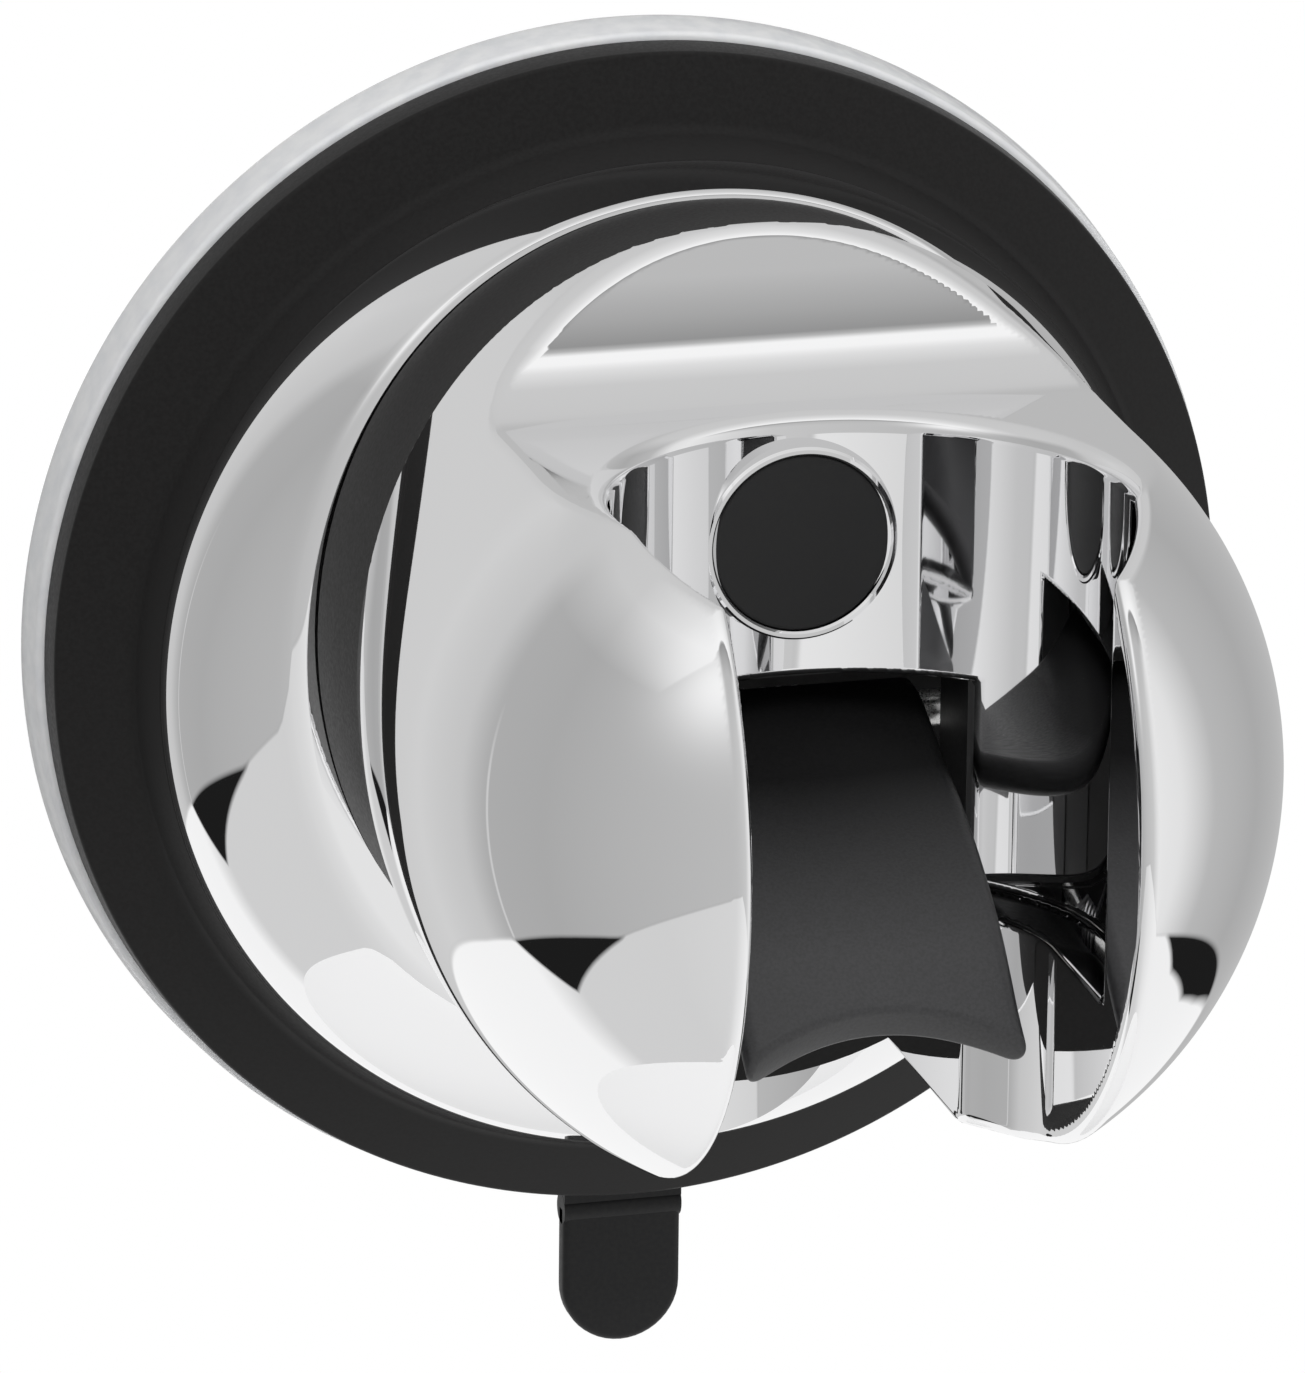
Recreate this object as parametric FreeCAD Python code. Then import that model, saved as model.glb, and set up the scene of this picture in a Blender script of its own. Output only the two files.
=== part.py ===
"""Suction-mounted hand-shower holder, modelled as separate pieces, one STEP file each.

Millimetres. The origin is the centre of the wall face. X is to the right, Y goes into the
wall and Z is up, so the holder stands out towards -Y. A "depth" below is the distance out
from the wall, so y = -depth. Rest is the locked position, with the cradle upright.
"""
import FreeCAD, Part
import math
import os

V = FreeCAD.Vector
os.makedirs("parts", exist_ok=True)

# ---- general fits
RUNNING_GAP = 0.05          # radial play of a shaft or a turning face
FREE_GAP = 0.3              # between bodies that only pass each other

# ---- suction pad and its pull tab
PAD_RADIUS = 43.3
PAD_FRONT_RADIUS = 42.9
PAD_RIM = 3.8               # thickness of the sealing rim
PAD_DISH_RADIUS = 26.0
PAD_DISH = 2.6              # how far the locked middle stands off the wall
PAD_CENTRE = 2.4            # thickness of the middle
PAD_BOSS_RADIUS = 14.0
PAD_STEP_RADIUS = 21.0
TAB_WIDTH = 8.7
TAB_THICK = 2.0
TAB_DEPTH = 2.2             # middle of the tab's thickness
TAB_HINGE_Z = -44.6
TAB_END_Z = -54.9
TAB_ROOT_Z = -37.0
TAB_BEAD = 1.15             # radius of the rolled hinge bead

# ---- base plate
BASE_BACK = 3.8
BASE_RADIUS = 42.5
BASE_EDGE_RADIUS = 42.3
BASE_EDGE = 6.5
CREASE_RADIUS = 37.35
CREASE_DEPTH = 8.9
SEAM_RADIUS = 36.05
SEAM_DEPTH = 12.2
SPIGOT_RADIUS = 32.7
BASE_POCKET_RADIUS = 24.0
FLOOR_BACK = 11.4
FLOOR_FRONT = 13.2
SEAL_INNER = 33.6
SEAL_OUTER = 34.6
SEAL_GROOVE = 0.8

# ---- draw mechanism
DRAW_STROKE = 2.6           # pad travel over the quarter turn
LOCK_TURN = 90.0            # degrees from free to locked
CORE_RADIUS = 13.0
CORE_FRONT = 8.0
BAR_SIDE = 8.0
BAR_FRONT = 24.6
PIN_RADIUS = 1.5
PIN_DEPTH = 22.0            # cross pin when locked
PIN_HALF = 10.9
CONE_OUTER = 12.0
CONE_INNER = 6.6
CONE_THICK = 0.6
WASHER_THICK = 0.8
WASHER_RADIUS = 11.0
CAM_FLANGE_RADIUS = 20.5
CAM_FLANGE = 2.2
CAM_BORE = 6.6
RAMP_OUTER = 11.2
CAM_WALL = 1.7
CAM_FRONT = 23.9
SCREW_CIRCLE = 15.5
SCREW_RADIUS = 1.25
SCREW_HEAD_RADIUS = 2.2
SCREW_HEAD = 1.4
STOP_RADIUS = 1.5
STOP_CIRCLE = 19.4
STOP_AZIMUTH = 75.0         # degrees from straight up, turning towards +X

# ---- dome, frame and neck
SEAM_GAP = 0.1
DOME_WALL = 2.2
DOME_FRONT = 22.0
DOME_UPPER = (28.5, 8.1)    # radius and height of the front outline's upper arc
DOME_LOWER = (28.9, 2.0)
DOME_SWELL = 1.7            # how full the side of the dome is
DOME_EDGE = 0.8             # rounding of the front edge
SCOOP_RADIUS = 11.25        # hose scoop under the dome
SCOOP_AXIS = 25.45
SCOOP_TOP = -24.6
MOUTH_UPPER = (24.5, 8.1)   # opening in the dome's front wall
MOUTH_LOWER = (22.9, 2.9)
FRAME_THICK = 1.3
FRAME_LEDGE = 0.9           # how far the frame reaches behind the dome's front wall
FRAME_HOLE = 13.1
NECK_UPPER = (28.1, 8.1)
NECK_LOWER = (26.6, 2.9)
NECK_FRONT = 33.5
NECK_FRONT_UPPER = (27.4, 10.1)
NECK_FRONT_LOWER = (26.5, 2.6)
NECK_WALL = 2.6
NECK_PLATE = 2.2
NECK_SPIGOT = 1.2           # step that keys the neck into the holder
GASKET = 0.5

# ---- holder body
BODY_BACK_UPPER = (27.8, 10.1)
BODY_BACK_LOWER = (26.9, 2.6)
BALL_RADIUS = 29.7
BALL_DEPTH = 55.3
BALL_HEIGHT = 6.15
BALL_CUT = 84.0
BODY_BOTTOM = -20.8
BODY_WALL = 2.4
SHELF_HEIGHT = 27.6
ROOF_TOP = (32.6, 39.4)     # depth and height where the roof slope starts
ROOF_FOOT = 40.6            # depth where it would meet the level shelf
ROOF_ROUND = 7.0
BORE_RADIUS = 17.2
BORE_DEPTH = 62.7
LEDGE_HEIGHT = -5.0         # the hose nut's cone rests on this ledge of the bore
SLOT_HALF = 12.9            # also the radius of the passage below the ledge
CHANNEL_HALF = 11.25
CHANNEL_FOOT_HALF = 9.6     # below the ledge
CHANNEL_TOP = 9.3
CHANNEL_WALL = 2.4
CAVITY_FRONT = 42.8
CAVITY_TOP = 23.4
LIP_EDGE = 0.6              # rounding round the cradle's mouth and slot

# ---- main screw and its plug
MAIN_HEIGHT = 19.0
MAIN_RADIUS = 2.0
MAIN_HEAD_RADIUS = 3.8
MAIN_HEAD = 2.4
MAIN_BOSS_RADIUS = 6.4
MAIN_SEAT = 39.6
PLUG_RADIUS = 6.15
PLUG_THICK = 2.2
PLUG_FRONT = 46.5
INSERT_RADIUS = 2.9
INSERT_LONG = 5.0

# ---- grip tongue
TONGUE_HALF = 9.6
TONGUE_THICK = 2.4
TONGUE_PIVOT = (40.4, 4.6)  # depth and height
TONGUE_HUB = 3.1
TONGUE_PIN_RADIUS = 1.25
HEEL_RADIUS = 1.2           # ridge that stops against the window's roof
HEEL_DEPTH = 43.0
# depth and height along the middle of the top face, and how far the sides drop below it
TONGUE_LINE = ((41.5, 7.3, 0.0), (44.0, 6.8, 0.0), (50.0, 3.8, -0.4), (54.0, 1.9, -0.6),
               (58.4, -0.1, -0.5), (62.7, -2.3, 0.1), (65.6, -4.6, 1.0), (69.0, -7.4, 2.1))
TONGUE_NOTCH = 35.0         # radius of the hollow in the tongue's front edge
TONGUE_REACH = 68.3         # depth of the front edge at its middle
COIL_WIRE = 0.7
COIL_TURNS = 4.0
COIL_HALF = 2.6
COIL_MEAN = 1.9             # radius of the wound wire
LEG_END = 31.9              # depth of the leg that is held in the neck
LEG_REACH = 5.2             # length of the leg under the tongue
CLIP_RADIUS = 2.3
CLIP_THICK = 0.7


def at(x, depth, z):
    """A point from its sideways place, its depth out from the wall and its height."""
    return V(x, -depth, z)


def rod(radius, back, front, x=0.0, z=0.0):
    """A round bar square to the wall."""
    return Part.makeCylinder(radius, front - back, at(x, back, z), V(0, -1, 0))


def crossbar(radius, half, depth, z):
    """A round bar along X, centred on X = 0."""
    return Part.makeCylinder(radius, 2 * half, at(-half, depth, z), V(1, 0, 0))


def block(x0, x1, back, front, z0, z1):
    """A box between two sideways places, two depths and two heights."""
    return Part.makeBox(x1 - x0, front - back, z1 - z0, at(x0, front, z0))


def turned(outline):
    """Turns an outline of (radius, depth) points about the wall normal through the origin."""
    points = [at(r, d, 0) for r, d in outline]
    face = Part.Face(Part.makePolygon(points + points[:1]))
    return face.revolve(V(0, 0, 0), V(0, 1, 0), 360)


def egg_point(angle, upper, lower, inset):
    """A point of an outline that is one arc above, another below, and smooth between."""
    rise = math.sin(angle)
    share = 0.5 + 0.5 * rise * (1.5 - 0.5 * rise * rise)
    radius = lower[0] + (upper[0] - lower[0]) * share - inset
    height = lower[1] + (upper[1] - lower[1]) * share
    return radius * math.cos(angle), height + radius * rise


def egg_wire(depth, upper, lower, inset=0.0, steps=36):
    turn = 2 * math.pi / steps
    spots = [egg_point(i * turn, upper, lower, inset) for i in range(steps)]
    curve = Part.BSplineCurve()
    curve.interpolate(Points=[at(x, depth, z) for x, z in spots], PeriodicFlag=True)
    return Part.Wire([curve.toShape()])


def egg_prism(back, front, upper, lower, inset=0.0):
    face = Part.Face(egg_wire(back, upper, lower, inset))
    return face.extrude(V(0, back - front, 0))


def lerp(a, b, share):
    return tuple(p + (q - p) * share for p, q in zip(a, b))


def loft(wires):
    return Part.makeLoft(wires, True, False)


def one(shape):
    """The single solid of a shape that should be one piece."""
    solids = shape.Solids
    if len(solids) != 1:
        raise ValueError("expected one solid, found %d" % len(solids))
    return solids[0]


def rounded(shape, edges, radius, name):
    """Rounds the given edges, all at once."""
    if not edges:
        raise ValueError("no edges to round on " + name)
    return shape.makeFillet(radius, edges)


def save(name, *solids):
    shape = solids[0] if len(solids) == 1 else Part.makeCompound(list(solids))
    for solid in shape.Solids:
        if not solid.isValid():
            print("NOT VALID", name)
    shape.exportStep("parts/%s.step" % name)
    box = shape.BoundBox
    print("%-16s solids %d volume %9.1f  x %6.1f %6.1f  y %6.1f %6.1f  z %6.1f %6.1f" % (
        name, len(shape.Solids), shape.Volume, box.XMin, box.XMax, box.YMin, box.YMax,
        box.ZMin, box.ZMax))


# ---------------------------------------------------------------- wall side

def tab_socket(grow=0.0):
    """The root of the pull tab, from inside the pad's rim down to the hinge bead."""
    half = TAB_WIDTH / 2 + grow
    thick = TAB_THICK / 2 + grow
    return block(-half, half, TAB_DEPTH - thick, TAB_DEPTH + thick, TAB_HINGE_Z, TAB_ROOT_Z + grow)


def suction_pad():
    """The flat sealing rim of the pad, which carries the pull tab."""
    outline = [(PAD_DISH_RADIUS, 0), (PAD_RADIUS, 0), (PAD_RADIUS, 0.7), (PAD_FRONT_RADIUS, PAD_RIM),
               (PAD_DISH_RADIUS, PAD_RIM)]
    save("suction_pad", one(turned(outline).cut(tab_socket(0.02))))


def pad_diaphragm():
    """The flexing middle of the pad, drawn off the wall while the holder is locked."""
    boss = PAD_DISH + PAD_CENTRE
    dish = Part.Arc(at(0, PAD_DISH, 0), at(PAD_DISH_RADIUS * 0.6, PAD_DISH * 0.62, 0),
                    at(PAD_DISH_RADIUS, 0, 0)).toShape()
    outline = [(PAD_DISH_RADIUS, 0), (PAD_DISH_RADIUS, PAD_RIM), (PAD_STEP_RADIUS, PAD_RIM),
               (PAD_BOSS_RADIUS, boss), (0, boss), (0, PAD_DISH)]
    walls = Part.makePolygon([at(r, d, 0) for r, d in outline])
    face = Part.Face(Part.Wire([dish] + walls.Edges))
    save("pad_diaphragm", one(face.revolve(V(0, 0, 0), V(0, 1, 0), 360)))


def tab_anchor():
    clear = TAB_BEAD + RUNNING_GAP
    bead = crossbar(clear, TAB_WIDTH, TAB_DEPTH, TAB_HINGE_Z)
    below = block(-TAB_WIDTH, TAB_WIDTH, -5, 9, TAB_HINGE_Z - 5, TAB_HINGE_Z + 0.25)
    save("tab_anchor", one(tab_socket().cut(bead).cut(below)))


def release_tab():
    half = TAB_WIDTH / 2
    back = TAB_DEPTH - TAB_THICK / 2
    front = TAB_DEPTH + TAB_THICK / 2
    strap = block(-half, half, back, front, TAB_END_Z + half, TAB_HINGE_Z)
    tip = rod(half, back, front, 0, TAB_END_Z + half)
    strap = one(strap.fuse(tip))
    rims = [e for e in strap.Edges if e.Length > 9.5 or abs(e.BoundBox.ZLength) > 2]
    rims = [e for e in rims if e.BoundBox.YLength < 0.01 and e.BoundBox.ZMin < TAB_HINGE_Z - 1]
    strap = rounded(strap, [e for e in rims if e.BoundBox.ZLength > 1], 0.5, "release_tab")
    strap = strap.fuse(crossbar(TAB_BEAD, half, TAB_DEPTH, TAB_HINGE_Z))
    save("release_tab", one(strap))


def base_plate():
    """The black ring: a flat flange, a soft crease and a lip that the dome turns on."""
    outline = [
        (BASE_POCKET_RADIUS, BASE_BACK), (BASE_RADIUS, BASE_BACK), (BASE_EDGE_RADIUS, BASE_EDGE),
        (CREASE_RADIUS, CREASE_DEPTH), (SEAM_RADIUS, SEAM_DEPTH), (SPIGOT_RADIUS, SEAM_DEPTH),
        (SPIGOT_RADIUS, FLOOR_FRONT), (0, FLOOR_FRONT), (0, FLOOR_BACK),
        (BASE_POCKET_RADIUS, FLOOR_BACK)]
    plate = turned(outline)
    plate = rounded(plate, ring_edges(plate, BASE_EDGE_RADIUS), 0.4, "base_plate rim")
    plate = rounded(plate, ring_edges(plate, CREASE_RADIUS), 1.2, "base_plate crease")
    hole = BAR_SIDE / 2 + RUNNING_GAP
    plate = plate.cut(block(-hole, hole, FLOOR_BACK - 1, FLOOR_FRONT + 1, -hole, hole))
    x, z = on_circle(STOP_CIRCLE, STOP_AZIMUTH)
    plate = plate.cut(rod(STOP_RADIUS, FLOOR_BACK, FLOOR_FRONT + 1, x, z))
    groove = rod(SEAL_OUTER, SEAM_DEPTH - SEAL_GROOVE, SEAM_DEPTH + 1)
    save("base_plate", one(plate.cut(groove.cut(rod(SEAL_INNER, 0, SEAM_DEPTH + 2)))))


def ring_edges(shape, radius):
    """The full circles of one radius round the wall normal."""
    found = []
    for edge in shape.Edges:
        box = edge.BoundBox
        if abs(box.XLength - 2 * radius) < 0.01 and box.YLength < 0.01:
            found.append(edge)
    return found


def on_circle(radius, azimuth):
    """Sideways place and height of a spot at an azimuth from straight up towards +X."""
    turn = math.radians(azimuth)
    return radius * math.sin(turn), radius * math.cos(turn)


def rim_seal():
    """Low-friction ring let into the lip that the dome turns on."""
    ring = rod(SEAL_OUTER - 0.01, SEAM_DEPTH - SEAL_GROOVE, SEAM_DEPTH + 0.04)
    save("rim_seal", one(ring.cut(rod(SEAL_INNER + 0.01, 0, SEAM_DEPTH + 1))))


def stop_pin():
    x, z = on_circle(STOP_CIRCLE, STOP_AZIMUTH)
    front = FLOOR_FRONT + WASHER_THICK + CAM_FLANGE - FREE_GAP
    save("stop_pin", rod(STOP_RADIUS, FLOOR_BACK, front, x, z))


def thrust_washer():
    ring = rod(WASHER_RADIUS, FLOOR_FRONT, FLOOR_FRONT + WASHER_THICK)
    save("thrust_washer", one(ring.cut(rod(CAM_BORE, FLOOR_FRONT - 1, FLOOR_FRONT + 2))))


# ---------------------------------------------------------------- draw mechanism

def pad_core():
    back = PAD_DISH + PAD_CENTRE
    disc = rod(CORE_RADIUS, back, CORE_FRONT)
    side = BAR_SIDE / 2
    disc = disc.cut(block(-side, side, back + 0.8, CORE_FRONT + 1, -side, side))
    save("pad_core", one(disc))


def draw_bar():
    side = BAR_SIDE / 2
    bar = block(-side, side, PAD_DISH + PAD_CENTRE + 0.8, BAR_FRONT, -side, side)
    bar = bar.cut(crossbar(PIN_RADIUS, side + 1, PIN_DEPTH, 0))
    save("draw_bar", one(bar))


def cross_pin():
    save("cross_pin", crossbar(PIN_RADIUS, PIN_HALF, PIN_DEPTH, 0))


def helix_wire(pitch, height, radius):
    return Part.Wire(Part.makeHelix(pitch, height, radius).Edges)


def coil(wire_radius, radius, turns, height):
    """A spring wound up +Z from the origin."""
    pitch = height / turns
    path = helix_wire(pitch, height, radius)
    start = Part.Wire(Part.Circle(V(radius, 0, 0), V(0, 1, 0), wire_radius).toShape())
    pipe = Part.BRepOffsetAPI.MakePipeShell(path)
    pipe.setFrenetMode(True)
    pipe.add(start)
    pipe.build()
    pipe.makeSolid()
    return pipe.shape()


def return_spring():
    """Coned disc between the pad core and the base floor; it pushes the pad back to the wall."""
    low = CORE_FRONT + 0.02
    high = FLOOR_BACK - 0.02
    outline = [(CONE_OUTER, low), (CONE_OUTER, low + CONE_THICK), (CONE_INNER, high),
               (CONE_INNER, high - CONE_THICK)]
    save("return_spring", one(turned(outline)))


def ramp(azimuth):
    """A helical track that lifts the cross pin as the cam ring turns under it."""
    lead = DRAW_STROKE * 360 / LOCK_TURN
    extra = 12.0
    span = LOCK_TURN + 2 * extra
    slope = math.atan(lead / (2 * math.pi * CAM_BORE))
    top = PIN_DEPTH - PIN_RADIUS / math.cos(slope) - 0.06
    low = top - DRAW_STROKE * (LOCK_TURN + extra) / LOCK_TURN
    height = lead * span / 360
    path = helix_wire(lead, height, (CAM_BORE + RAMP_OUTER) / 2)
    deep = low - (FLOOR_FRONT + WASHER_THICK + 1.2)
    inner = CAM_BORE + 0.02
    corners = [V(inner, 0, -deep), V(RAMP_OUTER + 0.2, 0, -deep), V(RAMP_OUTER + 0.2, 0, 0), V(inner, 0, 0)]
    section = Part.makePolygon(corners + corners[:1])
    pipe = Part.BRepOffsetAPI.MakePipeShell(path)
    pipe.setFrenetMode(True)
    pipe.add(section)
    pipe.build()
    pipe.makeSolid()
    track = pipe.shape()
    # wound about +Z from +X; stand it on the wall normal with its low end first
    track.rotate(V(0, 0, 0), V(1, 0, 0), 90)
    track.translate(at(0, low, 0))
    track.rotate(V(0, 0, 0), V(0, 1, 0), azimuth + LOCK_TURN + extra)
    return track.Solids[0]


def cam_ring():
    back = FLOOR_FRONT + WASHER_THICK + RUNNING_GAP
    flange = rod(CAM_FLANGE_RADIUS, back, back + CAM_FLANGE)
    tower = rod(RAMP_OUTER + CAM_WALL, back, CAM_FRONT).cut(rod(RAMP_OUTER, back + CAM_FLANGE, CAM_FRONT + 1))
    ring = flange.fuse(tower).cut(rod(CAM_BORE, back - 1, CAM_FRONT + 1))
    for azimuth in (0, 180):
        ring = ring.fuse(ramp(azimuth))
    for x, z in screw_spots():
        ring = ring.cut(rod(SCREW_RADIUS + 0.1, back - 1, back + CAM_FLANGE + 1, x, z))
        ring = ring.cut(rod(SCREW_HEAD_RADIUS + 0.1, back - 1, back + SCREW_HEAD + 0.2, x, z))
    ring = ring.cut(stop_track(back - 1, back + CAM_FLANGE + 1))
    save("cam_ring", one(ring))


def stop_track(back, front):
    """The stretch of the flange's rim that is cut away for the stop pin."""
    play = math.degrees(math.asin((STOP_RADIUS + 0.1) / STOP_CIRCLE))
    inner = STOP_CIRCLE - STOP_RADIUS - 0.1
    ring = rod(CAM_FLANGE_RADIUS + 4, back, front).cut(rod(inner, back - 1, front + 1))
    start = STOP_AZIMUTH - play
    finish = STOP_AZIMUTH + LOCK_TURN + play
    reach = CAM_FLANGE_RADIUS + 30
    corners = [on_circle(0, 0)]
    for share in (0, 0.25, 0.5, 0.75, 1):
        corners.append(on_circle(reach, start + (finish - start) * share))
    points = [at(x, back, z) for x, z in corners]
    wedge = Part.Face(Part.makePolygon(points + points[:1])).extrude(V(0, back - front, 0))
    return ring.common(wedge)


def screw_spots():
    return [on_circle(SCREW_CIRCLE, azimuth) for azimuth in (60, 180, 300)]


# ---------------------------------------------------------------- dome, frame and neck

def dome_sections(inset, back, front):
    wires = []
    for i in range(6):
        share = i / 5
        depth = back + (front - back) * share
        travel = max(0.0, (depth - SEAM_DEPTH) / (DOME_FRONT - SEAM_DEPTH))
        swell = travel ** DOME_SWELL
        upper = lerp((SEAM_RADIUS, 0.0), DOME_UPPER, swell)
        lower = lerp((SEAM_RADIUS, 0.0), DOME_LOWER, swell)
        wires.append(egg_wire(depth, upper, lower, inset))
    return wires


def scoop(grow=0.0):
    """The hollow under the dome that lets the hose hang close to the wall."""
    tool = Part.makeCylinder(SCOOP_RADIUS + grow, 30, at(0, SCOOP_AXIS, SCOOP_TOP + grow - 30), V(0, 0, 1))
    return tool


def dome_shell():
    back = SEAM_DEPTH + SEAM_GAP
    shell = loft(dome_sections(0, back, DOME_FRONT)).Solids[0]
    edge = [e for e in shell.Edges if e.BoundBox.YLength < 0.01 and e.BoundBox.YMax < 0.01 - DOME_FRONT]
    shell = rounded(shell, edge, DOME_EDGE, "dome_shell front")
    shell = shell.cut(scoop())
    hollow = loft(dome_sections(DOME_WALL, back - 0.5, frame_front()))
    rim = rod(SEAM_RADIUS + 9, 0, FLOOR_FRONT + 0.8).cut(rod(SPIGOT_RADIUS + 0.1, -1, 60))
    hollow = hollow.cut(rim).cut(scoop(DOME_WALL))
    shell = shell.cut(hollow)
    shell = shell.cut(rod(SPIGOT_RADIUS + 0.1, 0, FLOOR_FRONT + 0.1))
    shell = shell.cut(egg_prism(SEAM_DEPTH, DOME_FRONT + 1, MOUTH_UPPER, MOUTH_LOWER, -RUNNING_GAP))
    save("dome_shell", shell.Solids[0])


def turret_frame():
    """Plate inside the dome that the cam ring, the neck and the main screw pull on."""
    back = FLOOR_FRONT + WASHER_THICK + RUNNING_GAP + CAM_FLANGE
    plate = egg_prism(back, back + FRAME_THICK, MOUTH_UPPER, MOUTH_LOWER, -FRAME_LEDGE)
    plate = plate.fuse(rod(INSERT_RADIUS + 1.8, back, back + INSERT_LONG + 1, 0, MAIN_HEIGHT))
    plate = plate.cut(rod(FRAME_HOLE, back - 1, back + 9))
    plate = plate.cut(rod(INSERT_RADIUS, back + 1, back + 9, 0, MAIN_HEIGHT))
    for x, z in screw_spots():
        plate = plate.cut(rod(SCREW_RADIUS + 0.1, back - 1, back + 9, x, z))
    save("turret_frame", one(plate))


def frame_front():
    return FLOOR_FRONT + WASHER_THICK + RUNNING_GAP + CAM_FLANGE + FRAME_THICK


def neck_sections(inset, back, front):
    start = DOME_FRONT + GASKET
    wires = []
    for i in range(4):
        depth = back + (front - back) * i / 3
        share = (depth - start) / (NECK_FRONT - start)
        wires.append(egg_wire(depth, lerp(NECK_UPPER, NECK_FRONT_UPPER, share),
                              lerp(NECK_LOWER, NECK_FRONT_LOWER, share), inset))
    return wires


def neck_collar():
    """Black neck between dome and holder: a cup that opens towards the wall."""
    back = DOME_FRONT + GASKET
    cup = loft(neck_sections(0, back, NECK_FRONT)).Solids[0]
    cup = cup.fuse(egg_prism(frame_front(), back + 1, MOUTH_UPPER, MOUTH_LOWER, 0.1))
    inside = frame_front() - 1
    well = loft(neck_sections(NECK_WALL + 1.5, back - 1, NECK_FRONT - NECK_PLATE))
    well = well.fuse(egg_prism(inside, back + 0.5, MOUTH_UPPER, MOUTH_LOWER, 2.2))
    posts = rod(MAIN_RADIUS + 2.4, frame_front() + INSERT_LONG, NECK_FRONT, 0, MAIN_HEIGHT)
    for x, z in screw_spots():
        posts = posts.fuse(rod(SCREW_RADIUS + 1.15, frame_front(), NECK_FRONT, x, z))
    cup = cup.cut(well.cut(posts))
    cup = cup.fuse(neck_key())
    cup = cup.cut(rod(MAIN_RADIUS + 0.1, inside, NECK_FRONT + 1, 0, MAIN_HEIGHT))
    for x, z in screw_spots():
        cup = cup.cut(rod(SCREW_RADIUS, inside, frame_front() + 9.2, x, z))
    depth, z = TONGUE_PIVOT
    leg = COIL_WIRE / 2 + RUNNING_GAP
    cup = cup.cut(rod(leg, LEG_END - 0.2, NECK_FRONT + 1, COIL_HALF - COIL_WIRE / 2, z - COIL_MEAN))
    save("neck_collar", one(cup))


def neck_key():
    """Two low crescents that stand in the holder's hollow and stop it turning on the neck."""
    inset = BODY_WALL + 0.4 + RUNNING_GAP
    front = NECK_FRONT + NECK_SPIGOT
    ring = egg_prism(NECK_FRONT - 0.5, front, BODY_BACK_UPPER, BODY_BACK_LOWER, inset)
    ring = ring.cut(egg_prism(NECK_FRONT - 1, front + 1, BODY_BACK_UPPER, BODY_BACK_LOWER, inset + 1.6))
    side = CHANNEL_HALF + CHANNEL_WALL + FREE_GAP
    low = BODY_BOTTOM + BODY_WALL + RUNNING_GAP
    keep = block(side, 60, 30, 40, low, CAVITY_TOP - RUNNING_GAP)
    keep = keep.fuse(block(-60, -side, 30, 40, low, CAVITY_TOP - RUNNING_GAP))
    return ring.common(keep)


def neck_gasket():
    ring = egg_prism(DOME_FRONT, DOME_FRONT + GASKET, NECK_UPPER, NECK_LOWER, 0.3)
    save("neck_gasket", one(ring.cut(egg_prism(DOME_FRONT - 1, DOME_FRONT + 2, MOUTH_UPPER, MOUTH_LOWER, -0.1))))


def frame_screws():
    """Three self-tapping screws that clamp cam ring, frame and neck together."""
    seat = FLOOR_FRONT + WASHER_THICK + RUNNING_GAP + SCREW_HEAD + 0.2
    screws = []
    for x, z in screw_spots():
        head = rod(SCREW_HEAD_RADIUS, seat - SCREW_HEAD, seat, x, z)
        head = head.cut(rod(0.9, seat - SCREW_HEAD - 1, seat - 0.5, x, z))
        screws.append(one(head.fuse(rod(SCREW_RADIUS, seat, frame_front() + 9.0, x, z))))
    save("frame_screws", *screws)


# ---------------------------------------------------------------- holder

def body_sections():
    """Outlines from the neck rim, over the widest ring, to well inside the front slot."""
    wires = []
    ring = (BALL_RADIUS, BALL_HEIGHT)
    for i in range(5):
        share = i / 4
        left = (1 - share) ** 2
        depth = NECK_FRONT + (BALL_DEPTH - NECK_FRONT) * share
        wires.append(egg_wire(depth, lerp(ring, BODY_BACK_UPPER, left), lerp(ring, BODY_BACK_LOWER, left)))
    last = math.degrees(math.asin((BALL_CUT - BALL_DEPTH) / BALL_RADIUS))
    for i in range(1, 8):
        turn = math.radians(last * i / 7)
        ring = (BALL_RADIUS * math.cos(turn), BALL_HEIGHT)
        wires.append(egg_wire(BALL_DEPTH + BALL_RADIUS * math.sin(turn), ring, ring))
    return wires


def roof_tool():
    """What is cut from the top: a slope down from the neck rim, curving into a level shelf."""
    reach = BALL_DEPTH + 2 * BALL_RADIUS
    high = BALL_HEIGHT + 2 * BALL_RADIUS
    slope = math.atan2(ROOF_TOP[1] - SHELF_HEIGHT, ROOF_FOOT - ROOF_TOP[0])
    tangent = ROOF_ROUND * math.tan(slope / 2)
    start = (ROOF_FOOT - tangent * math.cos(slope), SHELF_HEIGHT + tangent * math.sin(slope))
    finish = (ROOF_FOOT + tangent, SHELF_HEIGHT)
    centre = (ROOF_FOOT + tangent, SHELF_HEIGHT + ROOF_ROUND)
    mid = (centre[0] - ROOF_ROUND * math.sin(slope / 2), centre[1] - ROOF_ROUND * math.cos(slope / 2))
    wide = 2 * BALL_RADIUS
    up = (ROOF_TOP[0] - (high - ROOF_TOP[1]) / math.tan(slope), high)

    def spot(pair):
        return at(-wide, pair[0], pair[1])
    edges = [
        Part.makeLine(spot(up), spot(start)),
        Part.Arc(spot(start), spot(mid), spot(finish)).toShape(),
        Part.makeLine(spot(finish), spot((reach, SHELF_HEIGHT))),
        Part.makeLine(spot((reach, SHELF_HEIGHT)), spot((reach, high))),
        Part.makeLine(spot((reach, high)), spot(up))]
    return Part.Face(Part.Wire(edges)).extrude(V(2 * wide, 0, 0))


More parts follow.
